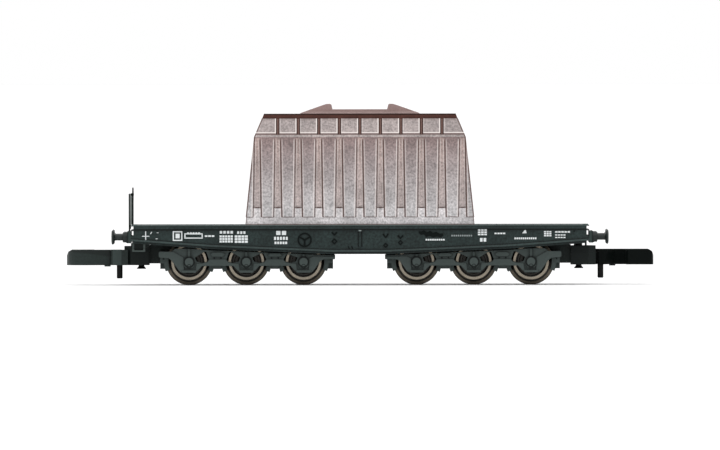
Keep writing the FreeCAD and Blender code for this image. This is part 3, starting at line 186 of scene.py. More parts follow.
# ---------------------------------------------------------------- materials
FRAME_PAINT = surface(
    "frame_paint", srgb(31, 41, 40), roughness=0.45, spread=0.30, grain=0.22, patches=3.0, crease_shade=0.7,
    edge=srgb(50, 61, 59), specular=0.13,
)
SILL_PAINT = surface(
    "sill_paint", srgb(32, 43, 42), roughness=0.45, spread=0.50, grain=0.30, patches=3.0, crease_shade=0.7,
    specular=0.185,
)
SILL_SHADE = surface(
    "sill_shade", srgb(14, 20, 19), roughness=0.6, spread=0.20, grain=0.20, patches=2.0, crease_shade=0.3,
    specular=0.06,
)
FLOOR_PLASTIC = surface(
    "floor_plastic", srgb(36, 44, 42), roughness=0.55, spread=0.28, grain=0.25, patches=2.0,
    crease_shade=0.6, edge=srgb(52, 60, 58), specular=0.12,
)
BOGIE_PLASTIC = surface(
    "bogie_plastic", srgb(38, 45, 44), roughness=0.45, spread=0.26, grain=0.22, patches=3.0,
    crease_shade=0.85, edge=srgb(70, 79, 77), specular=0.135,
)
# Painted shade: a darker copy of the bogie plastic for the spine and coupler pocket deep under the deck.
POCKET_SHADE = surface(
    "pocket_shade", srgb(15, 21, 20), roughness=0.45, spread=0.20, grain=0.20, patches=3.0,
    crease_shade=0.5, edge=srgb(24, 30, 29), specular=0.13,
)
# The couplers are one black plastic: the left one gets a paler painted-light copy and the right one a darker
# painted-shade copy.
COUPLER_LIT = surface(
    "coupler_plastic", srgb(32, 41, 39), roughness=0.38, spread=0.22, grain=0.24, patches=4.0,
    crease_shade=0.6, specular=0.18,
)
COUPLER_SHADED = surface(
    "coupler_shaded", srgb(9, 13, 12), roughness=0.40, spread=0.16, grain=0.20, patches=4.0, crease_shade=0.6,
    specular=0.04,
)
STEP_PAINT = surface(
    "step_paint", srgb(18, 24, 23), roughness=0.45, spread=0.25, grain=0.22, patches=3.0, crease_shade=0.6,
    specular=0.10,
)
NECK_PLASTIC = surface(
    "neck_plastic", srgb(33, 41, 39), roughness=0.45, spread=0.24, grain=0.22, patches=3.0, crease_shade=0.5,
    specular=0.16,
)
BUFFER_BLACK = surface(
    "buffer_black", srgb(30, 38, 37), roughness=0.33, spread=0.20, grain=0.15, patches=2.0, crease_shade=0.6,
    specular=0.29,
)
RAIL_PALE = surface(
    "rail_pale", srgb(122, 128, 126), roughness=0.45, spread=0.15, grain=0.15, patches=2.0, crease_shade=0.3,
)
PIN_STEEL = surface(
    "pin_steel", srgb(12, 13, 12), roughness=0.30, spread=0.15, grain=0.12, patches=2.0, crease_shade=0.3,
    specular=0.12,
)
WHEEL_DARK = surface(
    "wheel_dark", srgb(46, 44, 40), roughness=0.36, spread=0.20, grain=0.12, patches=1.5, crease_shade=0.7,
    bump=0.2, metallic=0.6,
)
TYRE_STEEL = surface(
    "tyre_steel", srgb(146, 138, 124), roughness=0.32, spread=0.20, grain=0.15, patches=1.5,
    crease_shade=0.6, bump=0.15, metallic=0.9,
)
TYRE_DULL = surface(
    "tyre_dull", srgb(104, 97, 86), roughness=0.36, spread=0.15, grain=0.10, patches=1.5, crease_shade=0.5,
    bump=0.15, metallic=0.8,
)
# Pale bolt colour: a painted highlight standing for glints on the small bolt heads.
BOLT_GLINT = surface(
    "bolt_glint", srgb(120, 130, 128), roughness=0.4, spread=0.1, grain=0.08, patches=1.0, crease_shade=0.3,
    bump=0.2,
)
AXLE_STEEL = surface(
    "axle_steel", srgb(120, 116, 110), roughness=0.28, spread=0.08, grain=0.06, patches=2.0,
    crease_shade=0.3, bump=0.15, metallic=0.95,
)
SPRING_STEEL = surface(
    "spring_steel", srgb(168, 168, 172), roughness=0.25, spread=0.06, grain=0.05, patches=2.0,
    crease_shade=0.3, bump=0.1, metallic=1.0,
)
BALLAST_STEEL = surface(
    "ballast_steel", srgb(70, 72, 72), roughness=0.5, spread=0.2, grain=0.25, patches=1.5, crease_shade=0.5,
    bump=0.5, metallic=0.8,
)
BUSH_PLASTIC = surface("bush_plastic", srgb(20, 20, 20), roughness=0.5)
PRINT_WHITE = surface(
    "print_white", srgb(214, 219, 220), roughness=0.55, spread=0.10, grain=0.09, patches=1.0,
    crease_shade=0.0, bump=0.2,
)
PRINT_GREY = surface(
    "print_grey", srgb(128, 136, 136), roughness=0.55, spread=0.10, grain=0.09, patches=1.0,
    crease_shade=0.0, bump=0.2,
)
# Near-black painted shade for the keel strip under the sill's flange and for the inside below the floor.
KEEL_SHADOW = surface(
    "keel_shadow", srgb(7, 10, 10), roughness=0.7, spread=0.15, grain=0.12, patches=2.0, crease_shade=0.5,
    specular=0.05,
)


class Field:
    """Number that varies over a surface, kept as a shader socket, with ordinary arithmetic.

    A comparison gives a Field between 0 and 1, with a step as wide as its soft value.
    """

    def __init__(self, tree, socket):
        self.tree = tree
        self.socket = socket

    def made(self, operation, *values):
        maker = node(self.tree, "ShaderNodeMath", operation=operation)
        for socket, value in zip(maker.inputs, (self,) + values):
            if isinstance(value, Field):
                self.tree.links.new(value.socket, socket)
            else:
                socket.default_value = value
        return Field(self.tree, maker.outputs[0])

    def __add__(self, other):
        return self.made("ADD", other)

    def __sub__(self, other):
        return self.made("SUBTRACT", other)

    def __mul__(self, other):
        return self.made("MULTIPLY", other)

    def __neg__(self):
        return self.made("MULTIPLY", -1.0)

    def size(self):
        return self.made("ABSOLUTE")

    def distance(self, other):
        """Length of the diagonal of this field and another one."""
        return (self * self + other * other).made("SQRT")

    def nearest(self, step, limit):
        """Closest whole multiple of a step, no further out than limit steps."""
        whole = (self * (1 / step)).made("ROUND")
        return whole.made("MINIMUM", float(limit)).made("MAXIMUM", -float(limit)) * step

    def above(self, edge, soft=0.03):
        """0 below an edge and 1 above it, with a soft step."""
        raised = ((self - edge) * (1 / soft)) + 0.5
        return raised.made("MINIMUM", 1.0).made("MAXIMUM", 0.0)

    def below(self, edge, soft=0.03):
        return -self.above(edge, soft) + 1.0

    def within(self, low, high, soft=0.03):
        return self.above(low, soft) * self.below(high, soft)

    def either(self, other):
        return self.made("MAXIMUM", other)


def open_finish(material, face):
    """A material's parts and the place on the object, in millimetres, for painting one face's pattern."""
    tree = material.node_tree
    shader = tree.nodes["Principled BSDF"]
    painted = shader.inputs["Base Color"].links[0].from_socket
    place = node(tree, "ShaderNodeTexCoord")
    split = node(tree, "ShaderNodeSeparateXYZ")
    tree.links.new(place.outputs["Object"], split.inputs["Vector"])
    along = Field(tree, split.outputs["X" if face == "side" else "Y"]) * (1 / MM)
    z = Field(tree, split.outputs["Z"]) * (1 / MM)
    return tree, shader, painted, along, z


def shade_claw(material):
    """Left coupler: painted light on a paler root block and a painted shadow wedge along the top of the
    claw.
    """
    tree, shader, painted, x, z = open_finish(material, "side")
    block = x.within(-29.85, -28.80, 0.10) * 0.55
    claw_end_x = -30.0
    tip_x = -34.9
    slope = 0.118
    over_slope = (z + (x - tip_x) * slope).above(4.02, 0.20)
    wedge = over_slope * x.below(claw_end_x) * 0.60
    # Painted light on the root block, then painted shadow along the top of the claw.
    lit = blend_colours(tree, block.socket, painted, srgb(64, 76, 74))
    tree.links.new(blend_colours(tree, wedge.socket, lit, srgb(14, 19, 18)), shader.inputs["Base Color"])


def shade_bogie(material):
    """Painted shade lines round the axle boxes and round the spring seats below them."""
    tree, shader, painted, x, z = open_finish(material, "side")
    along = x.size() - PIVOT_X
    from_axle = along - along.nearest(AXLE_SPACING, 1)
    # Painted shade rings round each axle box and spring seat.
    ring = from_axle.distance(z - AXLE_Z).within(0.50, 0.68) * 0.75
    spring_seat_z = AXLE_Z - 0.52
    seat = from_axle.distance(z - spring_seat_z).within(0.17, 0.29) * 0.65
    lined = blend_colours(tree, ring.either(seat).socket, painted, srgb(8, 12, 11))
    tree.links.new(lined, shader.inputs["Base Color"])


def shade_step(material):
    """Footstep whose straps and tread are paler than the plate behind them."""
    tree, shader, painted, x, z = open_finish(material, "side")
    inner_x = 25.88
    outer_x = 27.45
    strap_width = 0.24
    tread_top_z = 4.24
    across = x.size()
    outer_strap = across.within(outer_x - strap_width, outer_x)
    inner_strap = across.within(inner_x, inner_x + strap_width)
    straps = outer_strap.either(inner_strap)
    tread = z.below(tread_top_z) * across.within(inner_x, outer_x)
    lit = blend_colours(tree, straps.either(tread).socket, painted, srgb(66, 74, 72))
    tree.links.new(lit, shader.inputs["Base Color"])


# Outline of the hood, shared by its colouring and its face sorting.
HOOD_FOOT_Z = 7.26
HOOD_RIM_Z = 8.20
HOOD_BAND_Z = 9.30
HOOD_KNEE_Z = 17.84
HOOD_TILE_Z = 18.14
HOOD_STRIP_Z = 20.08
HOOD_ROOF_Z = 20.64
# Half lengths of each face at its foot and at its knee.
HOOD_SIZES = {"side": (13.87, 12.77), "end": (6.36, 5.26)}
HOOD_LEAN = 1.10 / (HOOD_KNEE_Z - HOOD_FOOT_Z)
HOOD_SHOULDER = 1.18 / (HOOD_ROOF_Z - HOOD_KNEE_Z)
# Distance between the bands of each face, and how many lie on each side of the middle one.
BAND_PITCHES = {"side": (2.474, 5), "end": (2.42, 2)}
BAND_HALF_WIDTH = 0.465
BAND_TAPER = 0.14
GROOVE_HALF_WIDTH = 0.205
# HOOD_DARK is the hood's brown, also used for painted shade lines; the pale colour below is for painted
# highlights.
HOOD_DARK = srgb(76, 46, 39)
HOOD_HIGHLIGHT = srgb(232, 222, 218)


def hood_brown(name):
    """Brown that lies in the hollows of the hood and on its roof; in the hollows it also stands for painted
    shade.
    """
    return surface(
        name, HOOD_DARK, roughness=0.55, spread=0.22, grain=0.20, patches=2.0, crease_shade=0.45, bump=0.35,
        specular=0.15,
    )


def recess_finish(name, face):
    """Brown of the roof strip and of the grooves between tiles: paler mid-groove, painted shade darkest at
    the groove edges and under the roof edge.
    """
    material = hood_brown(name)
    tree, shader, painted, along, z = open_finish(material, face)
    pitch, count = BAND_PITCHES[face]
    from_groove = along - along.nearest(pitch, count - 1)
    groove = z.below(HOOD_STRIP_Z - 0.05)
    middle = from_groove.size().below(0.09, 0.10) * groove * 0.45
    # Painted shade along the groove edges and at the top of the strip under the roof edge.
    edge = from_groove.size().above(0.13, 0.06) * groove * 0.45
    edge = edge.either(z.above(HOOD_ROOF_Z - 0.14, 0.10) * 0.85)
    paler = blend_colours(tree, middle.socket, painted, srgb(150, 122, 114))
    tree.links.new(blend_colours(tree, edge.socket, paler, srgb(26, 12, 9)), shader.inputs["Base Color"])
    return material


def hood_finish(name, face, low_colour, high_colour):
    """Moulded plastic of one face of the hood, with brown painted shade in the corners and painted pale
    highlights along the edges.

    face is "side" for the long faces and "end" for the short ones.
    """
    material = surface(
        name, low_colour, roughness=0.42, spread=0.42, grain=0.24, patches=3.0, crease_shade=0.35, bump=0.35,
        fade=(HOOD_RIM_Z, HOOD_KNEE_Z - 0.04, high_colour),
    )
    tree, shader, painted, along, z = open_finish(material, face)
    pitch, count = BAND_PITCHES[face]
    from_band = along - along.nearest(pitch, count)
    from_groove = along - along.nearest(pitch, count - 1)
    height = ((z - HOOD_BAND_Z) * (1 / (HOOD_KNEE_Z - HOOD_BAND_Z))).made("MINIMUM", 1.0)
    band_half = -(height * BAND_TAPER) + BAND_HALF_WIDTH
    beside = from_band.size() - band_half
    right_of = from_band.above(0.0, 0.01)
    left_of = from_band.below(0.0, 0.01)
    wall = z.within(HOOD_RIM_Z, HOOD_KNEE_Z - 0.2)
    fades_below_knee = z.below(HOOD_KNEE_Z - 0.29, 0.5)
    # Painted shade lines where the pads meet the bands, heavier on the right of each band as if lit from one
    # side.
    broad_line = beside.within(-0.08, 0.09) * right_of * 0.93
    thin_line = beside.within(-0.04, 0.09) * left_of * 0.76
    dark = (broad_line + thin_line) * fades_below_knee * wall
    # Painted highlights beside the band edges.
    outer_edge_highlight = beside.within(0.12, 0.24) * (left_of * 0.20 + 0.32)
    inner_edge_highlight = beside.within(-0.21, -0.09) * 0.30
    light = outer_edge_highlight.either(inner_edge_highlight) * fades_below_knee * wall
    # Painted shadow lines under the band ledge, the rim, the tile shelf and along the foot.
    ledge = z.within(HOOD_BAND_Z - 0.04, HOOD_BAND_Z + 0.12) * beside.below(0.0) * 0.85
    rim_line = z.within(HOOD_RIM_Z - 0.03, HOOD_RIM_Z + 0.07) * beside.above(0.03) * 0.75
    shelf = z.within(HOOD_TILE_Z - 0.04, HOOD_TILE_Z + 0.16) * 0.80
    foot_line = z.below(HOOD_FOOT_Z + 0.12) * 0.8
    dark = dark.either(ledge).either(rim_line).either(shelf).either(foot_line)
    beside_groove = from_groove.size() - GROOVE_HALF_WIDTH
    # Painted highlights on the tiles' right and lower edges.
    tile = z.within(HOOD_TILE_Z + 0.16, HOOD_STRIP_Z)
    tile_right = beside_groove.within(0.02, 0.14) * (from_groove.below(0.0, 0.01) * 0.65 + 0.35)
    tile_foot = z.within(HOOD_TILE_Z + 0.17, HOOD_TILE_Z + 0.29) * beside_groove.above(0.02)
    light = light.either(tile_right.either(tile_foot) * tile * 0.80)
    base, knee = HOOD_SIZES[face]
    wall_end = -(z - HOOD_FOOT_Z) * HOOD_LEAN + base
    shoulder_end = -(z - HOOD_KNEE_Z) * HOOD_SHOULDER + knee
    end = wall_end.made("MINIMUM", shoulder_end)
    # Painted shade along the face's ends, and darker towards the roof strip.
    dark = dark.either((end - along.size()).below(0.15) * 0.9)
    dark = dark.either(z.above(HOOD_STRIP_Z - 0.20, 0.40) * 0.40)
    # Painted shade and painted highlights are mixed into the face's colour.
    shaded = blend_colours(tree, dark.made("MINIMUM", 0.95).socket, painted, HOOD_DARK)
    lit = blend_colours(tree, light.socket, shaded, HOOD_HIGHLIGHT)
    tree.links.new(lit, shader.inputs["Base Color"])
    return material


HOOD_PLAIN = surface(
    "hood_inside", srgb(120, 98, 94), roughness=0.5, spread=0.15, grain=0.13, patches=3.0, crease_shade=0.6,
    bump=0.35,
)
HOOD_RECESS = hood_brown("hood_recess")
HOOD_FINISHES = [HOOD_PLAIN, HOOD_RECESS]
PLAIN_ROLE = 0
RECESS_ROLE = 1
HOOD_ROLES = {}
for face in ("side", "end"):
    for role, low_colour, high_colour in (
        ("pad", srgb(174, 172, 173), srgb(122, 103, 101)),
        ("band", srgb(184, 172, 170), srgb(146, 126, 121)),
        ("foot", srgb(187, 183, 184), srgb(187, 183, 184)),
        ("tile", srgb(151, 140, 138), srgb(151, 140, 138)),
    ):
        HOOD_ROLES[face, role] = len(HOOD_FINISHES)
        HOOD_FINISHES.append(hood_finish("hood_" + face + "_" + role, face, low_colour, high_colour))
    HOOD_ROLES[face, "recess"] = len(HOOD_FINISHES)
    HOOD_FINISHES.append(recess_finish("hood_" + face + "_recess", face))
# The saddle's paler foot, next to the roof edge, is a painted highlight; it turns browner above.
SADDLE_PLASTIC = surface(
    "saddle_plastic", srgb(196, 172, 168), roughness=0.45, spread=0.14, grain=0.13, patches=3.0,
    crease_shade=0.2, bump=0.35, fade=(20.7, 21.0, srgb(156, 130, 126)),
)


def hood_role(centre, normal):
    """Which finish a face of the hood has, from its place in millimetres and its direction."""
    x, y, z = centre / MM
    if normal.z > 0.8:
        return RECESS_ROLE
    face = "end" if abs(normal.x) > abs(normal.y) else "side"
    if z > HOOD_STRIP_Z:
        return HOOD_ROLES[face, "recess"]
    base, knee = HOOD_SIZES["side" if face == "end" else "end"]
    plane = base - (z - HOOD_FOOT_Z) * HOOD_LEAN
    if z > HOOD_KNEE_Z:
        plane = knee - (z - HOOD_KNEE_Z) * HOOD_SHOULDER
    depth = plane - abs(x if face == "end" else y)
    outwards = (normal.x * x if face == "end" else normal.y * y) > 0
    deepest_recess = 0.6
    tile_depth = 0.05
    pad_depth = 0.03
    foot_depth = 0.09
    if depth > deepest_recess:
        return PLAIN_ROLE
    if not outwards:
        return RECESS_ROLE
    if z > HOOD_KNEE_Z:
        return HOOD_ROLES[face, "tile" if depth < tile_depth else "recess"]
    if depth < pad_depth:
        return HOOD_ROLES[face, "pad"]
    return HOOD_ROLES[face, "foot" if depth < foot_depth or z < HOOD_BAND_Z else "band"]


def shade_sill(material):
    """Painted shadow lines along the sill's flanges and painted highlights on its upper rim and keel flange,
    which follow its fish-belly edge.
    """
    tree, shader, painted, x, z = open_finish(material, "side")
    middle = (x.size() - BELLY_FLAT_X) * BELLY_SLOPE
    middle = middle.made("MAXIMUM", 0.0).made("MINIMUM", BELLY_KNEE_RISE)
    outer = ((x.size() - BELLY_KNEE_X) * BELLY_END_SLOPE).made("MAXIMUM", 0.0)
    above_belly = z - (middle + outer) - BELLY_FLAT_Z
    # Painted shadow lines under the upper flange, along it and above the keel flange.
    under_flange = z.within(6.62, 6.80, 0.06) * 0.75
    flange_line = z.within(7.02, 7.12) * 0.45
    keel_line = above_belly.within(0.50, 0.62) * 0.70
    dark = under_flange.either(flange_line).either(keel_line)
    # Painted highlights on the upper rim and on the keel flange.
    rim_highlight = z.above(7.17) * 0.55
    keel_flange_highlight = above_belly.within(0.30, 0.50, 0.06) * 0.20
    light = rim_highlight.either(keel_flange_highlight)
    shaded = blend_colours(tree, dark.socket, painted, srgb(8, 12, 12))
    lit = blend_colours(tree, light.socket, shaded, srgb(92, 106, 104))
    tree.links.new(lit, shader.inputs["Base Color"])


shade_sill(SILL_PAINT)
shade_claw(COUPLER_LIT)
shade_step(STEP_PAINT)
shade_bogie(BOGIE_PLASTIC)


# ---------------------------------------------------------------- mesh helpers
def box_outline(x0, x1, z0, z1):
    return [(x0, z0), (x1, z0), (x1, z1), (x0, z1)]


def add_prism(bm, outline, start, end):
    """Closed straight-sided solid in millimetres: an (x, z) outline pushed along Y."""
    first = [bm.verts.new(Vector((x, start, z)) * MM) for x, z in outline]
    second = [bm.verts.new(Vector((x, end, z)) * MM) for x, z in outline]
    count = len(outline)
    bm.faces.new(first)
    bm.faces.new(list(reversed(second)))
    for i in range(count):
        j = (i + 1) % count
        bm.faces.new([first[j], first[i], second[i], second[j]])


def add_box(bm, x0, x1, y0, y1, z0, z1):
    add_prism(bm, box_outline(x0, x1, z0, z1), y0, y1)


def add_lathe(bm, axis, centre, outline, segments):
    """Solid of revolution in millimetres from closed (radius, along) points about a line.

    centre is the line's place in the other two axes.
    """
    rings = []
    for radius, along in outline:
        ring = []
        for step in range(segments):
            angle = 2 * math.pi * step / segments
            a = radius * math.cos(angle)
            b = radius * math.sin(angle)
            spots = {
                "y": (centre[0] + a, along, centre[1] + b),
                "x": (along, centre[0] + a, centre[1] + b),
                "z": (centre[0] + a, centre[1] + b, along),
            }
            ring.append(bm.verts.new(Vector(spots[axis]) * MM))
        rings.append(ring)
    for index, ring in enumerate(rings):
        following = rings[(index + 1) % len(rings)]
        for i in range(segments):
            j = (i + 1) % segments
            bm.faces.new([ring[i], ring[j], following[j], following[i]])


def close_poles(bm):
    """Welds points that meet on an axis and makes all faces look outwards."""
    bmesh.ops.remove_doubles(bm, verts=bm.verts, dist=1e-7)
    bmesh.ops.recalc_face_normals(bm, faces=bm.faces)


def finish_piece(name, bm, body, materials, nodes=(), sharp=35):
    """Turns a mesh under construction into a shown piece that rides on a body.

    nodes are the CAD nodes that it replaces, and sharp the angle in degrees from which edges look sharp.
    """
    close_poles(bm)
    mesh = bpy.data.meshes.new(name)
    bm.to_mesh(mesh)
    bm.free()
    for material in materials:
        mesh.materials.append(material)
    mesh.polygons.foreach_set("use_smooth", [True] * len(mesh.polygons))
    mesh.set_sharp_from_angle(angle=math.radians(sharp))
    piece = bpy.data.objects.new(name, mesh)
    bpy.context.scene.collection.objects.link(piece)
    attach(piece, body)
    if nodes:
        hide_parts(*nodes)
    return piece


def soften(piece, width, segments=2, angle=30):
    """Rounds a piece's sharp edges."""
    bevel = piece.modifiers.new("rounded_edges", "BEVEL")
    bevel.width = width * MM
    bevel.segments = segments
    bevel.limit_method = "ANGLE"
    bevel.angle_limit = math.radians(angle)
    bevel.use_clamp_overlap = True
    bevel.harden_normals = True
    return piece


def clean_copy(name):
    """The CAD node's shape as large flat faces, ready for rounding."""
    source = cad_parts[name].data
    bm = bmesh.new()
    corners = [bm.verts.new(vertex.co) for vertex in source.vertices]
    for polygon in source.polygons:
        outline = [corners[i] for i in polygon.vertices]
        if len(set(outline)) > 2 and not bm.faces.get(outline):
            bm.faces.new(outline)
    bmesh.ops.remove_doubles(bm, verts=bm.verts, dist=2e-7)
    bmesh.ops.dissolve_limit(
        bm, angle_limit=math.radians(0.8), verts=bm.verts, edges=bm.edges, use_dissolve_boundaries=False
    )
    return bm


def softened(name, body, materials, width, segments=2, angle=30, choose=None):
    """Replaces a CAD node by the same shape with rounded edges and its faces' own materials.

    choose gives the index of a face's material from the face's centre and direction.
    """
    bm = clean_copy(name)
    bm.normal_update()
    if choose:
        for face in bm.faces:
            face.material_index = choose(face.calc_center_median(), face.normal)
    piece = finish_piece(name + "_body", bm, body, materials, [name])
    return soften(piece, width, segments, angle)


def paint(name, material):
    """Gives a CAD node that stays its finish."""
    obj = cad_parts[name]
    for holder in obj.material_slots:
        holder.link = "OBJECT"
        holder.material = material


# ---------------------------------------------------------------- camera
IMAGE_WIDTH_MM = 86.96
CAMERA_DISTANCE = 2.50
CAMERA_ELEVATION = math.radians(0.5)
CAMERA_ROLL = math.radians(-0.09)
CAMERA_AIM_Z = 7.19


def make_camera():
    data = bpy.data.cameras.new("camera")
    camera = bpy.data.objects.new("camera", data)
    bpy.context.scene.collection.objects.link(camera)
    data.sensor_width = 36.0
    data.lens = data.sensor_width * CAMERA_DISTANCE / (IMAGE_WIDTH_MM * MM)
    aim = Vector((0, 0, CAMERA_AIM_Z * MM))
    back = Vector((0, -math.cos(CAMERA_ELEVATION), math.sin(CAMERA_ELEVATION)))
    camera.location = aim + back * CAMERA_DISTANCE
    facing = (aim - camera.location).to_track_quat("-Z", "Y").to_matrix()
    camera.rotation_euler = (facing @ Matrix.Rotation(CAMERA_ROLL, 3, "Z")).to_euler()
    bpy.context.scene.camera = camera


# ---------------------------------------------------------------- floor and light
def make_floor():
    bm = bmesh.new()
    half = 12.0
    corners = ((-half, -half), (half, -half), (half, half), (-half, half))
    bm.faces.new([bm.verts.new((x, y, 0)) for x, y in corners])
    mesh = bpy.data.meshes.new("floor")
    bm.to_mesh(mesh)
    bm.free()
    floor = bpy.data.objects.new("floor", mesh)
    bpy.context.scene.collection.objects.link(floor)
    material = bpy.data.materials.new("floor_white")
    material.use_nodes = True
    shader = material.node_tree.nodes["Principled BSDF"]
    shader.inputs["Base Color"].default_value = (0.96, 0.96, 0.96, 1)
    shader.inputs["Roughness"].default_value = 0.9
    shader.inputs["Specular IOR Level"].default_value = 0.1
    mesh.materials.append(material)


def area_light(name, place, size, watts):
    data = bpy.data.lights.new(name, "AREA")
    data.shape = "DISK"
    data.size = size
    data.energy = watts
    lamp = bpy.data.objects.new(name, data)
    bpy.context.scene.collection.objects.link(lamp)
    lamp.location = place
    target = Vector((0, 0, 0.008))
    lamp.rotation_euler = (target - lamp.location).to_track_quat("-Z", "Y").to_euler()


def make_light():
    area_light("key", (0.20, -0.55, 0.55), 0.40, 0.5)
    area_light("fill", (-0.45, -0.60, 0.20), 0.50, 0.15)
    area_light("back", (0.10, 0.55, 0.50), 0.50, 0.3)
    data = bpy.data.lights.new("overhead", "SUN")
    data.energy = 0.45
    data.angle = math.radians(40)
    sun = bpy.data.objects.new("overhead", data)
    bpy.context.scene.collection.objects.link(sun)
    sun.rotation_euler = (math.radians(24), 0, math.radians(12))
    world = bpy.data.worlds.new("studio")
    bpy.context.scene.world = world
    world.use_nodes = True
    background = world.node_tree.nodes["Background"]
    background.inputs["Color"].default_value = (1, 1, 1, 1)
    background.inputs["Strength"].default_value = 1.0


# ---------------------------------------------------------------- car body
def belly_z(x):
    """Height of the side sill's lower edge."""
    distance = abs(x)
    if distance < BELLY_KNEE_X:
        return BELLY_FLAT_Z + max(0.0, distance - BELLY_FLAT_X) * BELLY_SLOPE
    return BELLY_FLAT_Z + BELLY_KNEE_RISE + (distance - BELLY_KNEE_X) * BELLY_END_SLOPE


def underframe_role(centre, normal):
    """0 for paint, 1 for the keel strip and the inside below the floor, which are near-black painted shade,
    2 for the relief wheel.
    """
    x, y, z = centre / MM
    proud_of_web = abs(y) > abs(WEB_Y) + 0.01
    if proud_of_web and math.hypot(x - RELIEF_WHEEL_X, z - RELIEF_WHEEL_Z) < RELIEF_WHEEL_REACH:
        return 2
    keel_height = 0.25
    between_sills = abs(y) < 6.25
    floor_z = 6.0
    if z < belly_z(x) + keel_height or (between_sills and z < floor_z):
        return 1
    return 0


BUFFER_Y = 3.98
BUFFER_Z = 5.78


def make_buffer(end, side):
    """Turned buffer with a gusset under its sleeve."""
    way = ENDS[end]
    y = {"near": -BUFFER_Y, "far": BUFFER_Y}[side]
    outline = [
        (0, 27.62), (0.40, 27.62), (0.40, 28.06), (0.62, 28.06), (0.62, 28.54), (0.54, 28.62), (0.38, 28.62),
        (0.38, 29.54), (0.54, 29.66), (0.77, 29.66), (0.87, 29.76), (0.87, 29.86), (0.77, 29.95),
        (0.40, 29.995), (0, 30.0),
    ]
    bm = bmesh.new()
    add_lathe(bm, "x", (y, BUFFER_Z), [(radius, way * x) for radius, x in outline], 64)
    gusset = [(28.06, 5.06), (28.52, 5.28), (28.52, BUFFER_Z), (28.06, BUFFER_Z)]
    add_prism(bm, [(way * x, z) for x, z in gusset], y - 0.16, y + 0.16)
    name = "buffer_" + end + "_" + side
    finish_piece(name + "_body", bm, "car_body", [BUFFER_BLACK], [name])


def make_handwheel():
    """Round-rimmed handwheel with three spokes, facing along the car."""
    x = -27.42
    z = 10.92
    rim_radius = 0.76
    rim_thickness = 0.09
    ring = []
    for step in range(12):
        angle = step * math.pi / 6
        ring.append((rim_radius + rim_thickness * math.cos(angle), x + rim_thickness * math.sin(angle)))
    bm = bmesh.new()
    add_lathe(bm, "x", (0, z), ring, 64)
    hub = [(0, -27.64), (0.16, -27.64), (0.16, -27.33), (0.13, -27.30), (0, -27.30)]
    add_lathe(bm, "x", (0, z), hub, 32)
    for index in range(3):
        made = len(bm.verts)
        add_box(bm, x - 0.06, x + 0.06, -0.07, 0.07, z, z + rim_radius)
        bm.verts.ensure_lookup_table()
        turn = Matrix.Rotation(math.radians(120 * index), 3, "X")
        bmesh.ops.rotate(bm, verts=bm.verts[made:], cent=Vector((x, 0, z)) * MM, matrix=turn)
    finish_piece("brake_handwheel_body", bm, "car_body", [SILL_SHADE], ["brake_handwheel"])


def railing_role(centre, normal):
    """1 for the pale sides of the railing's posts, and 0 for the rest."""
    inner_x = -27.50
    outer_x = -27.72
    return 1 if abs(normal.y) > 0.9 and outer_x < centre.x / MM < inner_x else 0


softened(
    "underframe", "car_body", [SILL_PAINT, KEEL_SHADOW, SILL_SHADE],
    width=0.035, choose=underframe_role,
)
softened("deck_floor", "car_body", [FLOOR_PLASTIC], width=0.02, segments=1)
for end in ENDS:
    softened("headstock_" + end, "car_body", [FRAME_PAINT], width=0.04)
    softened("footstep_" + end, "car_body", [STEP_PAINT], width=0.03)
    for side in ("near", "far"):
        make_buffer(end, side)
    paint("king_pin_" + end, PIN_STEEL)
softened(
    "end_railing", "car_body", [SILL_SHADE, RAIL_PALE], width=0.02, choose=railing_role,
)
make_handwheel()
paint("ballast_weight", BALLAST_STEEL)


# ---------------------------------------------------------------- bogies and couplers
def bogie_role(centre, normal):
    """0 for the frame, 1 for the spine and the coupler pocket, in painted shade, 2 for the neck between
    them.
    """
    along = abs(centre.x) / MM
    spine_half_width = 2.6
    neck_start_x = 24.0
    neck_end_x = 25.5
    pocket_start_x = 24.6
    inside = abs(centre.y) / MM < spine_half_width
    if inside and neck_start_x < along < neck_end_x:
        return 2
    return 1 if inside or along > pocket_start_x else 0


def make_turned(name, body, material, axis, centre, outline):
    """Replaces a round CAD node by a finer solid of revolution."""
    bm = bmesh.new()
    add_lathe(bm, axis, centre, outline, 48)
    finish_piece(name + "_body", bm, body, [material], [name])


def make_wheel(name, body, middle_x, side, bore):
    """Turned wheel with a bright tyre ring; side is -1 for the near wheel and 1 for the far one."""
    dark, bright, dull = 0, 1, 2
    section = [
        (bore, 2.95, dark), (2.62, 2.95, dark), (2.76, 3.02, dark), (2.80, 3.15, dark), (2.72, 3.28, dull),
        (2.52, 3.353, dull), (2.42, 3.39, dark), (2.28, 3.51, dark), (2.20, 4.29, bright),
        (2.14, 4.35, bright), (1.86, 4.35, dark), (1.80, 4.35, dark), (1.75, 4.29, dark), (1.73, 3.91, dark),
        (1.63, 3.91, dark), (1.60, 4.21, dark), (1.46, 4.21, dark), (1.38, 3.95, dark), (1.05, 3.95, dark),
        (0.92, 4.07, dark), (0.86, 4.35, dark), (bore, 4.35, dark),
    ]
    segments = 96
    bm = bmesh.new()
    add_lathe(bm, "y", (middle_x, AXLE_Z), [(radius, side * y) for radius, y, _ in section], segments)
    for index, face in enumerate(bm.faces):
        face.material_index = section[index // segments][2]
    materials = [WHEEL_DARK, TYRE_STEEL, TYRE_DULL]
    finish_piece(name + "_body", bm, body, materials, [name], sharp=25)


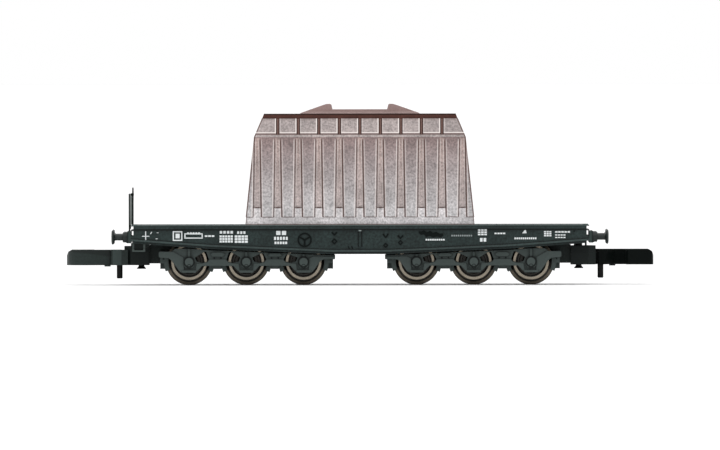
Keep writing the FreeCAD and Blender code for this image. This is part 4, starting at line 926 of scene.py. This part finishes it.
def make_coupler_pins(end, side):
    """Pivot pin of a coupler, with its flared foot and domed head, and the uncoupling pin in its claw."""
    pivot = [
        (0, 1.94), (0.60, 1.94), (0.36, 2.26), (0.35, 2.26), (0.35, 4.70), (0.44, 4.70), (0.44, 4.95),
        (0.38, 5.02), (0, 5.02),
    ]
    place = (side * COUPLER_PIN_X, 0)
    make_turned("coupler_pin_" + end, "bogie_" + end, PIN_STEEL, "z", place, pivot)
    uncoupling = [(0, 0.78), (0.28, 0.78), (0.36, 0.86), (0.36, 3.64), (0, 3.64)]
    place = (side * UNCOUPLING_PIN_X, 0)
    make_turned("uncoupling_pin_" + end, "coupler_" + end, PIN_STEEL, "z", place, uncoupling)


def make_wheelset(key, middle_x):
    """Two wheels, their axle with its journals, and the bush in the far wheel."""
    body = "wheelset_" + key
    make_wheel("near_wheel_" + key, body, middle_x, -1, bore=0.50)
    make_wheel("far_wheel_" + key, body, middle_x, 1, bore=0.70)
    half = [(0, -5.52), (0.22, -5.52), (0.25, -5.49), (0.25, -4.62), (0.50, -4.62)]
    outline = half + [(radius, -y) for radius, y in reversed(half)]
    make_turned("axle_" + key, body, AXLE_STEEL, "y", (middle_x, AXLE_Z), outline)
    paint("bush_" + key, BUSH_PLASTIC)


def make_bogie(end, side):
    """One bogie with its brake gear, coupler and three wheelsets."""
    softened(
        "bogie_frame_" + end, "bogie_" + end, [BOGIE_PLASTIC, POCKET_SHADE, NECK_PLASTIC],
        width=0.03, choose=bogie_role,
    )
    softened("brake_gear_" + end, "bogie_" + end, [BOGIE_PLASTIC], width=0.03)
    softened("pocket_cover_" + end, "bogie_" + end, [POCKET_SHADE], width=0.05)
    # Painted light on the left coupler and painted shade on the right one, as two copies of one plastic.
    claw = {"left": COUPLER_LIT, "right": COUPLER_SHADED}[end]
    softened("coupler_head_" + end, "coupler_" + end, [claw], width=0.06)
    paint("coupler_spring_" + end, SPRING_STEEL)
    make_coupler_pins(end, side)
    for index, place in enumerate(PLACES):
        make_wheelset(end + "_" + place, side * (PIVOT_X + (index - 1) * AXLE_SPACING))


for end, side in ENDS.items():
    make_bogie(end, side)


# ---------------------------------------------------------------- hood
def saddle_role(centre, normal):
    """1 for the faces of the saddle that look upwards, and 0 for the rest."""
    return 1 if normal.z > 0.2 else 0


softened(
    "hood_shell", "hood", HOOD_FINISHES, width=0.03, segments=1, angle=12, choose=hood_role,
)
softened(
    "lifting_saddle", "hood", [SADDLE_PLASTIC, HOOD_RECESS], width=0.06, choose=saddle_role,
)


# ---------------------------------------------------------------- small details on the sills
def on_sills(name, outlines, material, height, base_y=WEB_Y, both=True):
    """A group of small flat-sided shapes on the near sill and, turned half a turn, on the far one."""
    bm = bmesh.new()
    for outline in outlines:
        add_prism(bm, outline, base_y + 0.01, base_y - height)
    if both:
        turned = bmesh.ops.duplicate(bm, geom=bm.faces[:] + bm.edges[:] + bm.verts[:])
        moved = [item for item in turned["geom"] if isinstance(item, bmesh.types.BMVert)]
        bmesh.ops.rotate(bm, verts=moved, cent=(0, 0, 0), matrix=Matrix.Rotation(math.pi, 3, "Z"))
    piece = finish_piece(name, bm, "car_body", [material])
    soften(piece, width=0.012, segments=1)


def frame_outlines(x0, x1, z0, z1, line):
    """Four bars round a rectangle."""
    return [
        box_outline(x0, x1, z0, z0 + line),
        box_outline(x0, x1, z1 - line, z1),
        box_outline(x0, x0 + line, z0 + line, z1 - line),
        box_outline(x1 - line, x1, z0 + line, z1 - line),
    ]


def row_of_bars(x0, x1, z0, z1, count, gap):
    """A row of short bars with equal gaps."""
    width = (x1 - x0 - gap * (count - 1)) / count
    return [
        box_outline(x0 + i * (width + gap), x0 + i * (width + gap) + width, z0, z1)
        for i in range(count)
    ]


def grid_block(x0, x1, z0, z1, columns, rows, gap):
    """Rows of bars that fill a rectangle."""
    height = (z1 - z0 - gap * (rows - 1)) / rows
    shapes = []
    for row in range(rows):
        low = z0 + row * (height + gap)
        shapes += row_of_bars(x0, x1, low, low + height, columns, gap)
    return shapes


def white_panels():
    """Generic white panels, frames and bars where such a car carries its data."""
    shapes = []
    shapes += [box_outline(-25.88, -25.76, 5.44, 6.50), box_outline(-26.26, -25.84, 5.84, 5.94)]
    shapes += [box_outline(-25.80, -25.38, 5.84, 5.94)]
    shapes.append([(-25.30, 6.16), (-25.18, 6.16), (-25.02, 6.42), (-25.14, 6.42)])
    shapes += [box_outline(-24.48, -24.24, 6.28, 6.34), box_outline(-24.62, -24.38, 5.54, 5.62)]
    shapes += frame_outlines(-22.55, -21.40, 5.32, 6.50, 0.14)
    shapes.append(box_outline(-22.22, -21.72, 5.64, 6.20))
    shapes += frame_outlines(-21.15, -18.95, 5.60, 6.24, 0.13)
    shapes += row_of_bars(-20.82, -19.28, 6.24, 6.36, 5, 0.12)
    shapes += row_of_bars(-18.70, -17.55, 5.80, 6.00, 3, 0.08)
    shapes += grid_block(-16.92, -15.32, 5.12, 5.98, 5, 3, 0.06)
    shapes += row_of_bars(-16.90, -15.30, 6.20, 6.52, 4, 0.12)
    shapes += grid_block(-15.10, -13.52, 5.08, 5.98, 4, 3, 0.06)
    shapes += row_of_bars(-14.80, -13.80, 6.16, 6.48, 3, 0.12)
    shapes += row_of_bars(-10.10, -8.90, 6.02, 6.52, 2, 0.16)
    shapes += row_of_bars(-10.36, -8.70, 5.42, 5.80, 5, 0.10)
    shapes += row_of_bars(-10.30, -8.78, 4.92, 5.22, 5, 0.08)
    shapes += row_of_bars(7.90, 10.20, 5.32, 5.52, 9, 0.06)
    shapes += grid_block(14.20, 15.28, 5.95, 6.68, 3, 3, 0.07)
    shapes += row_of_bars(14.45, 15.20, 5.18, 5.62, 2, 0.12)
    shapes += row_of_bars(16.20, 17.50, 6.08, 6.26, 4, 0.07)
    shapes.append([(19.50, 6.18), (20.05, 6.18), (20.05, 6.30), (19.98, 6.56), (19.84, 6.56)])
    shapes += row_of_bars(18.60, 21.25, 5.46, 5.68, 11, 0.06)
    shapes += grid_block(22.16, 23.05, 5.80, 6.45, 3, 3, 0.06)
    shapes += row_of_bars(23.50, 25.30, 6.24, 6.44, 5, 0.07)
    shapes += row_of_bars(23.50, 24.75, 5.90, 6.04, 4, 0.07)
    shapes += row_of_bars(23.50, 24.75, 5.60, 5.74, 4, 0.07)
    lift = 0.04
    return [[(x, z + lift) for x, z in shape] for shape in shapes]


def grey_panels():
    """A fainter row of bars right of the middle."""
    return row_of_bars(11.00, 13.50, 5.85, 6.05, 10, 0.08)


def rope_hooks():
    """Small lashing hooks along the sill: a V with a loop below it."""
    shapes = []
    for x, top, tip, middle, half in (
        (-3.09, 6.44, 5.94, 5.28, 0.38), (3.09, 6.23, 5.62, 4.80, 0.32), (4.87, 6.04, 5.52, 5.12, 0.32),
    ):
        shapes.append([(x - 0.38, top - 0.12), (x - 0.24, top), (x, tip + 0.22), (x, tip)])
        shapes.append([(x + 0.24, top), (x + 0.38, top - 0.12), (x, tip), (x, tip + 0.22)])
        for side in (-1, 1):
            for up in (-1, 1):
                corner = [
                    (x + side * half, middle), (x, middle + up * half),
                    (x, middle + up * half * 0.5), (x + side * half * 0.5, middle),
                ]
                shapes.append(corner if side * up > 0 else list(reversed(corner)))
    for x in (-1.30, -0.88):
        shapes.append([(x - 0.18, 4.66), (x - 0.10, 4.72), (x + 0.06, 4.40), (x - 0.04, 4.40)])
    return shapes


def hook_bolts():
    """Bolt heads on the upper flange, in a pale colour that is a painted highlight."""
    shapes = []
    radius = 0.12
    flange_z = 6.93
    for x in (-13.29, -4.87, 5.18, 10.60):
        hexagon = []
        for corner in range(6):
            angle = math.radians(60 * corner)
            hexagon.append((x + radius * math.cos(angle), flange_z + radius * math.sin(angle)))
        shapes.append(hexagon)
    shapes.append(box_outline(-0.16, 0.16, 6.50, 6.64))
    return shapes


def release_gear():
    """Low-relief brake release linkage on the right half of the sill, and two small bolts."""
    linkage = [
        (7.05, 6.30), (7.35, 6.06), (7.70, 6.12), (7.95, 5.80), (8.40, 5.92), (8.80, 5.72), (9.25, 5.86),
        (9.70, 5.74), (10.05, 5.98), (9.95, 6.22), (9.55, 6.18), (9.20, 6.42), (8.80, 6.28), (8.45, 6.52),
        (8.05, 6.36), (7.70, 6.58), (7.35, 6.44), (7.10, 6.52),
    ]
    shapes = [linkage]
    for x, z in ((25.80, 6.46), (26.30, 6.76)):
        shapes.append(box_outline(x - 0.07, x + 0.07, z - 0.07, z + 0.07))
    return shapes


on_sills("white_panels", white_panels(), PRINT_WHITE, height=0.03)
on_sills("grey_panels", grey_panels(), PRINT_GREY, height=0.03)
on_sills("rope_hooks", rope_hooks(), SILL_SHADE, height=0.10)
on_sills("release_gear", release_gear(), SILL_SHADE, height=0.08, both=False)
on_sills("hook_bolts", hook_bolts(), BOLT_GLINT, height=0.33, base_y=-6.56)

make_camera()
make_floor()
make_light()
scene = bpy.context.scene
scene.view_settings.view_transform = "Standard"
